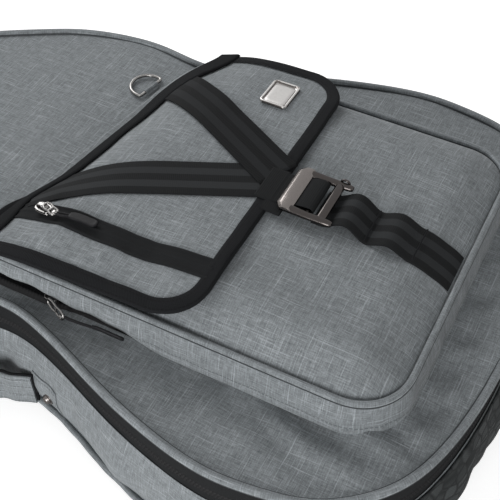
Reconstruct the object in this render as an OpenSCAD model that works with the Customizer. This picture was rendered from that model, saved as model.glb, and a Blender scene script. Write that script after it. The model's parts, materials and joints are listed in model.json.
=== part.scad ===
// Padded guitar gig bag, lying on its back with its front up and its neck
// towards +Y. Millimetres. The origin is the middle of its footprint, on the
// surface that it lies on. Heights are along +Z, out of the bag's front.

/* [Outline] */
// Length of the body outline from tail to head
bag_length = 1100; // [900:1:1340]
// Width across the lower bout
lower_bout_w = 446; // [370:1:540]
// Width across the waist
waist_w = 332; // [276:1:400]
// Width across the upper bout
upper_bout_w = 346; // [288:1:416]
// Width at the neck
neck_w = 172; // [143:1:208]
// Width at the head end
head_w = 190; // [158:1:230]

/* [Padding] */
// Depth of the body from the back panel to the front panel
body_depth = 125; // [104:1:150]
// Distance of the zip's closing line below the front panel's face
zip_drop = 27; // [22:1:33]
// Foam thickness of the back and front panels
panel_t = 18; // [15:1:22]
// Foam thickness of the side wall
wall_t = 14; // [11:1:17]
// How far the side wall bulges out at half height
side_bulge = 9; // [2:0.5:12]
// Thickness of the pads under the back
back_pad_t = 12; // [10:0.5:15]
// Radius of the edge piping
piping_r = 4; // [3:0.5:5]

/* [Pocket] */
// Width of the front pocket's cloth, without its piping
pocket_w = 287; // [239:1:345]
// Distance from the tail to the pocket's lower edge
pocket_from_tail = 55; // [45:1:70]
// Depth of the front pocket
pocket_depth = 31; // [25:1:38]
// Rise of the stuffed pocket face above its rim
pocket_dome = 18; // [14:1:22]
// Distance over which the pocket face rises from its rim
dome_inset = 34; // [28:1:40]
// Radius of the pocket's lower corners
pocket_corner_r = 38; // [31:1:46]
// Radius of the pocket's piping
pocket_piping_r = 3; // [2:0.5:4]

/* [Flap] */
// Width of the flap
flap_w = 300; // [286:1:340]
// Distance from the tail to the flap's hem
flap_hem = 211; // [176:1:240]
// Distance from the tail to the middle of the flap's sewn edge
flap_seam = 414; // [390:1:440]
// Slant of the sewn edge, in degrees
flap_slant = 9.4; // [0:0.1:12]
// Thickness of the flap
flap_t = 2.5; // [2:0.1:3.2]
// Width of the ribbon that binds the flap
binding_w = 13; // [11:0.5:16]
// Thickness of webbing and ribbon
webbing_t = 1.4; // [1:0.1:2]
// Width of the closing strap and the two slanted straps
strap_w = 38; // [32:0.5:45]

/* [Buckle] */
// Width of the hook buckle
buckle_w = 50; // [46:0.5:60]
// Length of the hook buckle
buckle_l = 48; // [44:0.5:58]
// Thickness of the buckle's plate
buckle_t = 3; // [2.5:0.1:3.6]

/* [Rings and pulls] */
// Outer width of the D-ring
dring_w = 35; // [29:0.5:42]
// Radius of the D-ring's wire
wire_r = 1.6; // [1.4:0.1:2]
// Length of a zip pull's rubber tab
tab_l = 27; // [22:0.5:32]
// Width of a zip pull's rubber tab
tab_w = 8; // [6.5:0.5:10]

/* [Handle and straps] */
// Height of the side handle's band
grip_h = 38; // [32:1:44]
// How far the side handle bows out from the wall
grip_bow = 24; // [20:1:30]
// Width of a shoulder pad
shoulder_w = 64; // [54:1:76]
// Width of the shoulder straps' webbing
tail_web_w = 25; // [20:1:30]

/* [Hidden] */

$fn = 48;

// Clearance between bodies that move apart, and between sewn layers
gap = 0.3;
lap = 0.1;

// Colours
grey_cloth = [0.47, 0.49, 0.50];
black_cloth = [0.14, 0.14, 0.15];
lining_cloth = [0.25, 0.26, 0.28];
gunmetal = [0.42, 0.40, 0.40];
bright_metal = [0.75, 0.74, 0.72];

// Heights
back_z = back_pad_t;
floor_z = back_z + panel_t;
front_z = back_z + body_depth;
ceiling_z = front_z - panel_t;
zip_z = front_z - zip_drop;
tape_z = zip_z - 12;
rim_z = front_z + pocket_depth;
dome_z = rim_z + pocket_dome;
flap_z = dome_z + gap;
hook_z = flap_z + flap_t + 2 * webbing_t + 2 * lap + gap;

// Offsets from the outline, outwards
edge_o = 3;
tape_o = 0.8;
boot_t = 2.2;
skid_t = 8;
loop_w = 20;
belly_o = edge_o + side_bulge;
boot_o = belly_o + lap + boot_t;
coil_o = 2.6;

// The outline's tail and head, placed so that the whole bag is centred
tail_reach = boot_o + gap + skid_t;
head_reach = boot_o + gap + loop_w;
tail_y = -(bag_length + head_reach - tail_reach) / 2;
head_y = tail_y + bag_length;

// ---- Outline: a smooth closed curve through these points, tail to head ----
steps = 4;
head_start = bag_length - 150;
half_line = [
    [0, 0], [0.21 * lower_bout_w, 6.5], [0.37 * lower_bout_w, 28],
    [0.466 * lower_bout_w, 72], [0.498 * lower_bout_w, 125], [0.499 * lower_bout_w, 175],
    [0.46 * lower_bout_w, 246], [waist_w / 2 + 11, 322], [waist_w / 2, 372],
    [upper_bout_w / 2, 440], [upper_bout_w / 2 - 12, 507], [upper_bout_w / 2 - 40, 562],
    [neck_w / 2 + 18, 612], [neck_w / 2 + 2, 672], [neck_w / 2, 740],
    [neck_w / 2 + 2, (740 + head_start) / 2], [head_w / 2, head_start],
    [head_w / 2, bag_length - 62], [0.36 * head_w, bag_length - 14], [0, bag_length]];
last = len(half_line) - 1;
ctrl = concat(half_line, [for (i = [last - 1:-1:1]) [-half_line[i].x, half_line[i].y]]);
turns = len(ctrl);
stations = turns * steps;

function at(list, i) = list[(i + 10 * len(list)) % len(list)];
function blend_point(a, b, c, d, t) =
    0.5 * (2 * b + (c - a) * t + (2 * a - 5 * b + 4 * c - d) * t * t
    + (3 * b - a - 3 * c + d) * t * t * t);
line = [for (i = [0:turns - 1], s = [0:steps - 1])
    blend_point(at(ctrl, i - 1), at(ctrl, i), at(ctrl, i + 1), at(ctrl, i + 2), s / steps)
    + [0, tail_y]];
function outward(k) =
    let (d = at(line, k + 1) - at(line, k - 1)) [d.y, -d.x] / norm(d);
function station(k, o) = at(line, k) + o * outward(k);
function outline(o) = [for (k = [0:stations - 1]) station(k, o)];

// Stations of the pieces that cover part of the outline
boot_k = 5 * steps;
head_k = 17 * steps;
hinge_k0 = 3 * steps;
hinge_k1 = 11 * steps;
patch_k = [7 * steps, 7 * steps + 2, 10 * steps, 10 * steps + 2];

// Outer face of the side wall, as an offset at height z
function wall_o(z) =
    edge_o + side_bulge * sin(180 * (z - floor_z) / (tape_z - floor_z));
wall_zs = [for (i = [0:5]) floor_z + i * (tape_z - lap - floor_z) / 5];

module slab(o, z0, z1) {
    translate([0, 0, z0]) linear_extrude(z1 - z0) polygon(outline(o));
}

module ring(o0, o1, z0, z1) {
    translate([0, 0, z0]) linear_extrude(z1 - z0) difference() {
        polygon(outline(o1));
        polygon(outline(o0));
    }
}

// A flat band that follows the outline from station k0 to k1
module band(o0, o1, z0, z1, k0, k1) {
    outer = [for (k = [k0:k1]) station(k, o1)];
    inner = [for (k = [k1:-1:k0]) station(k, o0)];
    translate([0, 0, z0]) linear_extrude(z1 - z0) polygon(concat(outer, inner));
}

// A profile of [offset, height] points swept along stations k0 to k1
module sweep(profile, k0, k1) {
    m = len(profile);
    closed = k1 - k0 == stations;
    n = closed ? stations : k1 - k0 + 1;
    pts = [for (i = [0:n - 1], p = profile)
        let (q = station(k0 + i, p.x)) [q.x, q.y, p.y]];
    spans = closed ? n : n - 1;
    sides = [for (i = [0:spans - 1], j = [0:m - 1])
        let (a = i * m, b = ((i + 1) % n) * m, e = (j + 1) % m)
        each [[a + j, b + j, b + e], [a + j, b + e, a + e]]];
    cap = [for (j = [0:floor((m - 1) / 2) - 1])
        each concat([[j, j + 1, m - 1 - j]],
            j + 1 < m - 2 - j ? [[j + 1, m - 2 - j, m - 1 - j]] : [])];
    last = (n - 1) * m;
    caps = closed ? [] : concat(cap, [for (f = cap) [last + f[2], last + f[1], last + f[0]]]);
    polyhedron(points = pts, faces = concat(sides, caps), convexity = 10);
}

function tube_profile(o, z, r, n) = [for (i = [0:n - 1])
    [o + r * cos(360 * (i + 0.5) / n), z - r * sin(360 * (i + 0.5) / n)]];
function skin_profile(o, t, zs) = concat(
    [for (z = zs) [wall_o(z) + o, z]],
    [for (i = [len(zs) - 1:-1:0]) [wall_o(zs[i]) + o + t, zs[i]]]);

// ---- Shell: back, side wall and what is sewn to them ----
module back_panel() {
    color(grey_cloth) slab(edge_o, back_z, floor_z - lap);
}

module side_wall() {
    outer = [for (i = [len(wall_zs) - 1:-1:0]) [wall_o(wall_zs[i]), wall_zs[i]]];
    step_o = -4 - lap;
    inner = [[-wall_t, floor_z], [-wall_t, zip_z - gap], [step_o, zip_z - gap],
        [step_o, tape_z - lap]];
    color(grey_cloth) sweep(concat(inner, outer), 0, stations);
}

module back_lining() {
    color(lining_cloth) slab(-wall_t - gap, floor_z, floor_z + 1.2);
}

module back_piping() {
    r = piping_r - 0.5;
    color(grey_cloth) sweep(tube_profile(edge_o + lap + r, back_z + piping_r, r, 6), 0, stations);
}

module lower_zip_tape() {
    color(black_cloth) band(-4, tape_o, tape_z, zip_z - gap, hinge_k1 + 1, stations + hinge_k0 - 1);
}

module lower_zip_coil() {
    color(black_cloth)
        band(tape_o + lap, coil_o, zip_z - 2.5, zip_z - gap, hinge_k1 + 1, stations + hinge_k0 - 1);
}

module fabric_hinge() {
    color(grey_cloth) band(-4, tape_o, tape_z, zip_z - gap, hinge_k0, hinge_k1);
}

module bottom_boot() {
    color(black_cloth) sweep(skin_profile(lap, boot_t, wall_zs), -boot_k, boot_k);
}

module head_boot() {
    color(black_cloth)
        sweep(skin_profile(lap, boot_t, wall_zs), head_k, stations - head_k);
}

skid_w = 18;
skid_x = 40;
module skid_strip() {
    low_z = back_z + 2;
    foot_o = edge_o + 2 * piping_r + lap;
    mids = [for (i = [1:4]) wall_zs[i]];
    inner = concat([[foot_o, low_z]], [for (z = mids) [wall_o(z) + lap + boot_t + gap, z]]);
    outer = [for (i = [4:-1:0]) [boot_o + gap + skid_t - (i == 4 || i == 0 ? 3 : 0), inner[i].y]];
    profile = [for (p = concat(inner, outer)) [tail_y - p.x, p.y]];
    translate([skid_w / 2, 0, 0]) rotate([90, 0, -90]) mirror([1, 0, 0])
        linear_extrude(skid_w) polygon(profile);
}

module skid_strips() {
    color(black_cloth) for (s = [-1, 1]) translate([s * skid_x, 0, 0]) skid_strip();
}

grip_z0 = wall_zs[1] - 14;
patch_zs = [for (i = [0:3]) grip_z0 + i * (grip_h + 6) / 3];
patch_t = 2;
patch_hem = 0.8;
patch_profile = concat([for (z = patch_zs) [wall_o(z) + 1, z]],
    [for (i = [3:-1:0]) [wall_o(patch_zs[i]) + 1 + patch_t,
        patch_zs[i] + (i == 3 ? -patch_hem : i == 0 ? patch_hem : 0)]]);
module handle_patches() {
    color(grey_cloth) for (i = [0, 2])
        sweep(patch_profile, stations - patch_k[i + 1], stations - patch_k[i]);
}

rivet_z = grip_z0 + grip_h / 2 + 3;
module rivet(k) {
    p = station(k, belly_o + patch_t + 1.2);
    d = outward(k);
    translate([p.x, p.y, rivet_z]) rotate([0, 90, atan2(d.y, d.x)]) union() {
        cylinder(h = 1.2, r = 6);
        translate([0, 0, 1.2]) cylinder(h = 1.6, r1 = 4.5, r2 = 2.5, $fn = 32);
    }
}

module handle_rivets() {
    color(bright_metal) for (k = [patch_k[0] + 1, patch_k[2] + 1]) rivet(stations - k);
}

cradle_y = tail_y + 660;
cradle_l = 90;
cradle_w = neck_w - 2 * wall_t - 16;
cradle_h = 48;
module neck_cradle() {
    color(lining_cloth) translate([0, cradle_y, floor_z + 1.2 + lap]) difference() {
        translate([-cradle_w / 2, 0, 0]) cube([cradle_w, cradle_l, cradle_h]);
        translate([0, -1, cradle_h + 4]) rotate([-90, 0, 0]) cylinder(h = cradle_l + 2, r = 32);
    }
}

module tail_bumper() {
    color(lining_cloth) translate([-60, tail_y + wall_t + 7, floor_z + 1.2 + lap])
        cube([120, 16, 52]);
}

module head_pad() {
    color(lining_cloth) translate([-45, head_y - wall_t - 26, floor_z + 1.2 + lap])
        cube([90, 18, 50]);
}

// A flat pad with round corners, its lower left corner at the origin
module pad(w, l, h, r) {
    linear_extrude(h) union() {
        translate([r, 0]) square([w - 2 * r, l]);
        translate([0, r]) square([w, l - 2 * r]);
        for (x = [r, w - r], y = [r, l - r]) translate([x, y]) circle(r);
    }
}

back_pad_w = 80;
back_pad_l = 180;
module back_pads() {
    color(lining_cloth) for (x = [-back_pad_w - 8, 8])
        translate([x, tail_y + 70, 0]) pad(back_pad_w, back_pad_l, back_pad_t - lap, 26);
}

yoke_w = 210;
yoke_y = tail_y + 478;
module strap_yoke() {
    color(black_cloth) translate([-yoke_w / 2, yoke_y, 0]) pad(yoke_w, 62, back_pad_t - lap, 16);
}

anchor_x = 150;
anchor_y = tail_y + 62;
module strap_anchors() {
    color(black_cloth) for (s = [-1, 1]) translate([s * anchor_x, anchor_y, 0])
        translate([-17, -14, 2]) cube([34, 22, back_pad_t - 2 - lap]);
}

// ---- Shoulder straps, folded flat under the back ----
shoulder_x = 66;
shoulder_spread = 40;
shoulder_l = 190;
shoulder_t = back_pad_t - 3;
module shoulder_pad(s) {
    top_y = yoke_y - gap;
    h = shoulder_w / 2;
    foot = [s * (shoulder_x + shoulder_spread), top_y - shoulder_l];
    end = [for (a = [0:-15:-180]) foot + h * [cos(a), sin(a)]];
    top = [[s * shoulder_x - h, top_y], [s * shoulder_x + h, top_y]];
    color(black_cloth) translate([0, 0, 1]) linear_extrude(shoulder_t)
        polygon(concat(top, end));
}

module strap_webbing(s) {
    h = tail_web_w / 2;
    a = [s * (shoulder_x + shoulder_spread), yoke_y - gap - shoulder_l - shoulder_w / 2 - gap];
    b = [s * anchor_x, anchor_y + 8 + gap];
    color(black_cloth) translate([0, 0, 4]) linear_extrude(2.4)
        polygon([a + [-h, 0], a + [h, 0], [b.x + h, a.y - 60], b + [h, 0], b - [h, 0],
            [b.x - h, a.y - 60]]);
}

// ---- Lid: front panel and what is sewn to it ----
panel_o = -4 - gap;
module front_panel() {
    color(grey_cloth) union() {
        slab(panel_o, ceiling_z, front_z);
        ring(-wall_t, panel_o, zip_z, ceiling_z);
    }
}

module front_lining() {
    color(lining_cloth) slab(-wall_t - gap, ceiling_z - 1.2, ceiling_z - lap);
}

piping_z = front_z - 2;
module front_piping() {
    color(grey_cloth) sweep(tube_profile(0, piping_z, piping_r, 8), 0, stations);
}

module upper_zip_band() {
    color(black_cloth) ring(-4, tape_o, zip_z, piping_z - piping_r - lap);
}

module upper_zip_coil() {
    color(black_cloth)
        band(tape_o + lap, coil_o, zip_z, zip_z + 2.2, hinge_k1 + 1, stations + hinge_k0 - 1);
}

// ---- Front pocket, its upper edge parallel to the flap's sewn edge ----
pocket_y = tail_y + pocket_from_tail;
pocket_back = 34;

// Everything on the tail side of a line parallel to the flap's sewn edge
module before_seam(back) {
    translate([0, tail_y + flap_seam]) rotate(-flap_slant)
        translate([-300, -600 - back]) square([600, 600]);
}

// A plan with round lower corners, w wide, from y to the flap's sewn edge
module seam_plan(w, y, r, back) {
    l = 420;
    intersection() {
        union() {
            translate([-w / 2, y + r]) square([w, l - r]);
            translate([r - w / 2, y]) square([w - 2 * r, l]);
            for (s = [-1, 1]) translate([s * (w / 2 - r), y + r]) circle(r);
        }
        before_seam(back);
    }
}

module pocket_plan(inset) {
    seam_plan(pocket_w - 2 * inset, pocket_y + inset, max(pocket_corner_r - inset, 2),
        pocket_back + inset);
}

face_t = 3;
module pocket_gusset() {
    color(grey_cloth) translate([0, 0, front_z + lap])
        linear_extrude(pocket_depth - face_t - 2 * lap) difference() {
            pocket_plan(0);
            pocket_plan(3);
        }
}

module pocket_face() {
    color(grey_cloth) union() {
        translate([0, 0, rim_z - face_t]) linear_extrude(face_t) pocket_plan(0);
        hull() {
            translate([0, 0, rim_z - 1]) linear_extrude(1) pocket_plan(3, $fn = 32);
            translate([0, 0, dome_z - 1]) linear_extrude(1) pocket_plan(dome_inset, $fn = 32);
        }
    }
}

// Where the seam line crosses the pocket's side at x
function seam_y(x, back) =
    tail_y + flap_seam - x * tan(flap_slant) - back / cos(flap_slant);

module pocket_piping() {
    r = pocket_piping_r;
    o = r + lap;
    z = rim_z - r;
    x = pocket_w / 2 + o;
    y = pocket_y - o;
    c = pocket_corner_r;
    seat = 0.5;
    run_r = r - 0.05;
    color(grey_cloth) union() {
        translate([c - pocket_w / 2 - seat, y, z]) rotate([0, 90, 0])
            cylinder(h = pocket_w - 2 * c + 2 * seat, r = run_r);
        for (s = [-1, 1]) {
            translate([s * x, pocket_y + c - seat, z]) rotate([-90, 0, 0])
                cylinder(h = seam_y(s * x, pocket_back) - pocket_y - c + seat, r = run_r);
            translate([s * (pocket_w / 2 - c), pocket_y + c, z])
                rotate([0, 0, s > 0 ? -90 : 180]) rotate_extrude(angle = 90)
                    translate([c + o, 0]) circle(r);
        }
    }
}

side_zip_y0 = tail_y + 262;
side_zip_y1 = tail_y + 388;
side_zip_x = -pocket_w / 2 - lap;
module pocket_zip() {
    color(black_cloth) translate([side_zip_x - 3, side_zip_y0, front_z + lap])
        cube([3, side_zip_y1 - side_zip_y0, 9]);
}

// ---- Closing strap, sewn down so that it leaves two loops for the hook ----
strap_top = tail_y + 174;
loop1 = [tail_y + 128, tail_y + 165];
loop2 = [pocket_y + dome_inset + 4, loop1[0]];
strap_foot = pocket_y + 2;
strap_knee = pocket_y + dome_inset;
strap_steps = 12;
function hump(a, b, h, n) = [for (i = [0:n - 1]) [b - (b - a) * i / n,
    dome_z + lap + h * pow(sin(180 * i / n), 2)]];
strap_line = concat([[strap_top, dome_z + lap]], hump(loop1[0], loop1[1], 11, strap_steps),
    hump(loop2[0], loop2[1], 8, strap_steps), [[loop2[0], dome_z + lap],
    [strap_knee, dome_z + lap], [strap_foot, rim_z + lap]]);
module lower_strap() {
    t = 1.8;
    top = [for (p = strap_line) p + [0, t]];
    under = [for (i = [len(strap_line) - 1:-1:0]) strap_line[i]];
    color(black_cloth) translate([-strap_w / 2, 0, 0]) rotate([90, 0, 90])
        linear_extrude(strap_w) polygon(concat(top, under));
}

// ---- D-ring, hinged on its tab just above the flap ----
dring_u = 112;
dring_v = 7.5;
dring_z = front_z + gap + wire_r;
module on_seam(u, v, z) {
    translate([0, tail_y + flap_seam, z]) rotate([0, 0, -flap_slant]) translate([u, v, 0])
        children();
}

module dring_tab() {
    w = 17;
    color(grey_cloth) on_seam(dring_u, dring_v, dring_z) difference() {
        translate([-w / 2, -3, -wire_r - gap + lap]) cube([w, 6, 2 * wire_r + gap + 0.6]);
        translate([-w / 2 - 1, 0, 0]) rotate([0, 90, 0]) cylinder(h = w + 2, r = wire_r + lap);
    }
}

module d_ring() {
    major = dring_w / 2 - wire_r;
    leg = 5;
    color(bright_metal) on_seam(dring_u, dring_v, dring_z) union() {
        translate([-major, 0, 0]) rotate([0, 90, 0]) cylinder(h = 2 * major, r = wire_r);
        for (s = [-1, 1]) translate([s * major, 0, 0]) {
            sphere(wire_r);
            rotate([-90, 0, 0]) cylinder(h = leg, r = wire_r);
        }
        translate([0, leg, 0]) rotate_extrude(angle = 180) translate([major, 0]) circle(wire_r);
    }
}

// ---- Flap and its root: layers t0 to t1 over a roof that falls to its sides and seam ----
roof_flat = pocket_w / 2 - dome_inset + 1;
side_drop = 9;
fall_v = 26;
fall_rate = (flap_z - front_z - gap) / fall_v;
crease_v = fall_v + 1;
hem_y = tail_y + flap_hem;

module under_flap(t) {
    top = flap_z + t;
    side = top - side_drop;
    w = flap_w / 2 + 10;
    drop = side_drop * 10 / (flap_w / 2 - roof_flat);
    lean = 2.1 * t;
    intersection() {
        translate([0, tail_y + flap_seam + 100, 0]) rotate([90, 0, 0]) linear_extrude(500)
            polygon([[-w, 50], [w, 50], [w, side - drop], [roof_flat, top],
                [-roof_flat, top], [-w, side - drop]]);
        on_seam(-400, 0, 0) rotate([90, 0, 90]) linear_extrude(800)
            polygon([[-400, 40],
                [(flap_z + lean - 40) / fall_rate - fall_v, 40],
                [(flap_z + lean - 260) / fall_rate - fall_v, 260], [-400, 260]]);
    }
}

module flap_layer(t0, t1) {
    intersection() {
        difference() {
            under_flap(t1);
            under_flap(t0);
        }
        translate([0, 0, front_z + gap]) linear_extrude(100) children();
    }
}

flap_corner_r = 38;
module flap_plan(inset, back) {
    seam_plan(flap_w - 2 * inset, hem_y + inset, flap_corner_r - inset, back);
}

// The root stays sewn to the lid, and the flap turns at the crease above it
module flap_root() {
    color(grey_cloth) flap_layer(0, flap_t) difference() {
        flap_plan(0, 0);
        before_seam(crease_v);
    }
}

module flap_panel() {
    color(grey_cloth) flap_layer(0, flap_t) flap_plan(0, crease_v + gap);
}

trim0 = flap_t + lap;
trim1 = trim0 + webbing_t;
module top_band() {
    color(black_cloth) flap_layer(trim0, trim1) difference() {
        flap_plan(0, 3);
        before_seam(crease_v);
    }
}

module flap_binding() {
    color(black_cloth) flap_layer(trim0, trim1) difference() {
        flap_plan(0, crease_v + gap);
        flap_plan(binding_w, 0);
    }
}

// Slanted straps, from the hem to the crease, clear of the flap's zip
zip_tape_x = -roof_flat + 10.5;
zip_tape_w = 19.6;
v_feet = [[4, hem_y + 14], [30, hem_y + 14]];
v_heads = [[-74, hem_y + 190], [102, hem_y + 190]];
module v_straps() {
    color(black_cloth) flap_layer(trim0, trim1) intersection() {
        difference() {
            union() {
                for (i = [0, 1]) {
                    d = v_heads[i] - v_feet[i];
                    translate(v_feet[i]) rotate(atan2(-d.x, d.y)) translate([-strap_w / 2, 0])
                        square([strap_w, norm(d) + 10]);
                }
            }
            translate([zip_tape_x - 300, hem_y]) square([300 + zip_tape_w / 2 + lap, 300]);
        }
        flap_plan(binding_w + lap, crease_v + gap);
    }
}

junction_l = 32;
module strap_junction() {
    color(black_cloth) flap_layer(trim1 + lap, trim1 + lap + webbing_t)
        translate([-strap_w / 2, hem_y - 1]) square([strap_w, junction_l]);
}

module flap_zip() {
    color(black_cloth) flap_layer(trim0, trim1) intersection() {
        translate([zip_tape_x - zip_tape_w / 2, hem_y]) square([zip_tape_w, 300]);
        flap_plan(binding_w + lap, crease_v + gap);
    }
}

badge_w = 34;
badge_l = 26;
badge_at = [roof_flat - 6.5, tail_y + 261];
badge_z = flap_z + flap_t;
module badge_plate() {
    slope = atan(side_drop / (flap_w / 2 - roof_flat));
    color(bright_metal)
        translate([badge_at.x, badge_at.y, badge_z - (badge_at.x - roof_flat) * tan(slope) + 0.9])
        rotate([0, slope * 0.7, 0]) translate([-badge_w / 2, -badge_l / 2, 0]) union() {
            pad(badge_w, badge_l, 1.2, 4);
            translate([0, 0, 1.2]) difference() {
                pad(badge_w, badge_l, 0.9, 4);
                translate([2, 2, -1]) pad(badge_w - 4, badge_l - 4, 4, 2.5);
            }
        }
}

// ---- Hook buckle and the webbing that holds it to the flap's hem ----
hook_y = hem_y - 2;
bar_y = hook_y - 26;
side_bar = 6;
module hook_buckle() {
    w = buckle_w;
    top = 12;
    window = 21;
    cross = 9;
    mouth = w - 2 * side_bar;
    tip = side_bar / 2;
    color(gunmetal) translate([0, hook_y, hook_z + webbing_t + lap]) union() {
        difference() {
            translate([-w / 2, -buckle_l + tip, 0]) cube([w, buckle_l - tip, buckle_t]);
            translate([-mouth / 2, -top - window, -1]) cube([mouth, window, buckle_t + 2]);
            translate([-mouth / 2, -buckle_l - 1, -1])
                cube([mouth, buckle_l + 1 - top - window - cross, buckle_t + 2]);
        }
        for (s = [-1, 1]) translate([s * (w / 2 - tip), -buckle_l + tip, 0])
            cylinder(h = buckle_t, r = tip);
        translate([-w / 2, 0, buckle_t]) rotate([90, 0, 90]) linear_extrude(w)
            polygon([[0, 0], [-2.5, 2.6], [-10, 1.8], [-top, 0]]);
        translate([-mouth / 2 - 1, bar_y - hook_y, buckle_t / 2]) rotate([0, 90, 0])
            cylinder(h = mouth + 2, r = 1.4);
    }
}

module buckle_loop() {
    w = buckle_w - 2 * side_bar - 2;
    z = hook_z;
    roll_z = z + webbing_t + lap + buckle_t / 2;
    color(black_cloth) union() {
        translate([-w / 2, bar_y, z]) cube([w, hook_y - bar_y, webbing_t]);
        difference() {
            translate([-w / 2, bar_y, roll_z]) rotate([0, 90, 0])
                cylinder(h = w, r = roll_z - z);
            translate([-w / 2 - 1, bar_y, roll_z]) rotate([0, 90, 0]) cylinder(h = w + 2, r = 1.5);
        }
        translate([-w / 2, bar_y, 2 * roll_z - z - webbing_t]) cube([w, 12, webbing_t]);
    }
}

// ---- Zip sliders and pulls ----
// A slider lying along Y, its base at z = 0
module slider_body() {
    translate([-5, -7, 0]) cube([10, 14, 3]);
    difference() {
        translate([-1.5, -6, 3]) cube([3, 12, 3.4]);
        translate([-3, -3.5, 2.6]) cube([6, 7, 2]);
    }
}

// A forked metal link that runs towards -Y from its pivot at the origin
module puller_link(l) {
    difference() {
        translate([-4, -l, -0.9]) cube([8, l + 2, 1.8]);
        translate([-2.4, -l + 2, -2]) cube([4.8, l - 2.5, 4]);
    }
}

// A cord with a flat rubber tab, running towards -Y
module pull_tab(cord_l) {
    translate([0, -cord_l, 0]) rotate([-90, 0, 0]) cylinder(h = cord_l, r = 1.1, $fn = 16);
    translate([0, -cord_l, -1.5]) linear_extrude(3) union() {
        translate([-tab_w / 2, -tab_l + tab_w / 2]) square([tab_w, tab_l - tab_w / 2]);
        translate([0, -tab_l + tab_w / 2]) circle(tab_w / 2);
    }
}

flap_slider_y = tail_y + 372;
flap_pull_z = flap_z + trim1 + gap + 5;
flap_link_l = 14;
pull_reach = 8.5;
module flap_slider() {
    color(bright_metal) translate([zip_tape_x, flap_slider_y, flap_z + trim1 + gap]) slider_body();
}

module flap_puller() {
    color(bright_metal) translate([zip_tape_x, flap_slider_y - pull_reach, flap_pull_z])
        puller_link(flap_link_l);
}

module flap_pull_tab() {
    y = flap_slider_y - pull_reach - flap_link_l - lap;
    color(black_cloth) translate([zip_tape_x, y, flap_pull_z]) pull_tab(18);
}

side_slider_y = tail_y + 337;
side_pull_at = [side_zip_x - 11, side_slider_y - pull_reach - 1, front_z + 6];
side_link_l = 20;
module pocket_slider() {
    color(bright_metal) translate([side_zip_x - 3 - gap, side_slider_y, front_z + 6])
        rotate([0, -90, 0]) slider_body();
}

module pocket_puller() {
    color(bright_metal) translate(side_pull_at) puller_link(side_link_l);
}

module pocket_pull_tab() {
    color(black_cloth) translate(side_pull_at + [0, -side_link_l - lap, 0]) pull_tab(22);
}

// Two sliders nose to nose on the neck's side
main_k = stations - 14 * steps;
main_x = station(main_k, 0).x;
main_y = station(main_k, 0).y;
main_pull_x = main_x - belly_o - 3.5;
main_pull_z = zip_z - 6;
slide_gap = 1.6;
module main_slider(s) {
    x = main_x - coil_o - slide_gap - 3;
    color(bright_metal) translate([0, main_y + s * 9, 0]) union() {
        translate([x, -7, zip_z - 5]) cube([3, 14, 10]);
        translate([main_pull_x - 2, -2, zip_z - 1.6]) cube([x - main_pull_x + 2, 4, 3.2]);
    }
}

module main_puller(s) {
    color(black_cloth) translate([main_pull_x, main_y + s * 9, main_pull_z])
        rotate([90, 0, 0]) rotate([0, 90, 0]) union() {
            puller_link(14);
            translate([0, -14 - lap, 0]) pull_tab(6);
        }
}

// ---- Side handle, hanging loop and the strap over the neck ----
grip_k = [patch_k[1], patch_k[2]];
grip_t = 7;
grip_o = belly_o + patch_t + 1 + lap;
module side_handle() {
    n = grip_k[1] - grip_k[0];
    bow = [for (i = [0:n]) grip_bow * sin(180 * i / n)];
    near = [for (i = [0:n]) station(stations - grip_k[0] - i, grip_o + bow[i])];
    far = [for (i = [n:-1:0]) station(stations - grip_k[0] - i, grip_o + grip_t + bow[i])];
    color(grey_cloth) translate([0, 0, grip_z0 + 3]) linear_extrude(grip_h)
        polygon(concat(near, far));
}

loop_z = (floor_z + tape_z) / 2 + 14;
loop_y = head_y + boot_o + gap;
module hanging_loop() {
    color(black_cloth) translate([0, loop_y, loop_z]) rotate([-90, 0, 0]) union() {
        rotate_extrude(angle = 180) translate([18, 0]) square([3.5, loop_w]);
        for (s = [-1, 1]) translate([s * 19.75 - 1.75, -6, 0]) cube([3.5, 6, loop_w]);
    }
}

module cradle_strap() {
    z = floor_z + 1.2 + lap + cradle_h + gap;
    color(black_cloth) translate([-cradle_w / 2 + 1, cradle_y + cradle_l / 2 - 19, z])
        cube([cradle_w - 2, 38, 2]);
}

back_panel();
side_wall();
back_lining();
back_piping();
lower_zip_tape();
lower_zip_coil();
fabric_hinge();
bottom_boot();
skid_strips();
head_boot();
handle_patches();
handle_rivets();
neck_cradle();
tail_bumper();
head_pad();
back_pads();
strap_yoke();
strap_anchors();
front_panel();
front_lining();
front_piping();
upper_zip_band();
upper_zip_coil();
pocket_gusset();
pocket_face();
pocket_piping();
pocket_zip();
lower_strap();
dring_tab();
flap_root();
top_band();
flap_panel();
flap_binding();
v_straps();
strap_junction();
badge_plate();
flap_zip();
hook_buckle();
buckle_loop();
d_ring();
flap_slider();
flap_puller();
flap_pull_tab();
pocket_slider();
pocket_puller();
pocket_pull_tab();
main_slider(-1);  // main_slider_low
main_puller(-1);  // main_puller_low
main_slider(1);  // main_slider_high
main_puller(1);  // main_puller_high
side_handle();
hanging_loop();
cradle_strap();
shoulder_pad(-1);  // shoulder_pad_left
shoulder_pad(1);  // shoulder_pad_right
strap_webbing(-1);  // strap_webbing_left
strap_webbing(1);  // strap_webbing_right
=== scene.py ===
import json
import math

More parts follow.
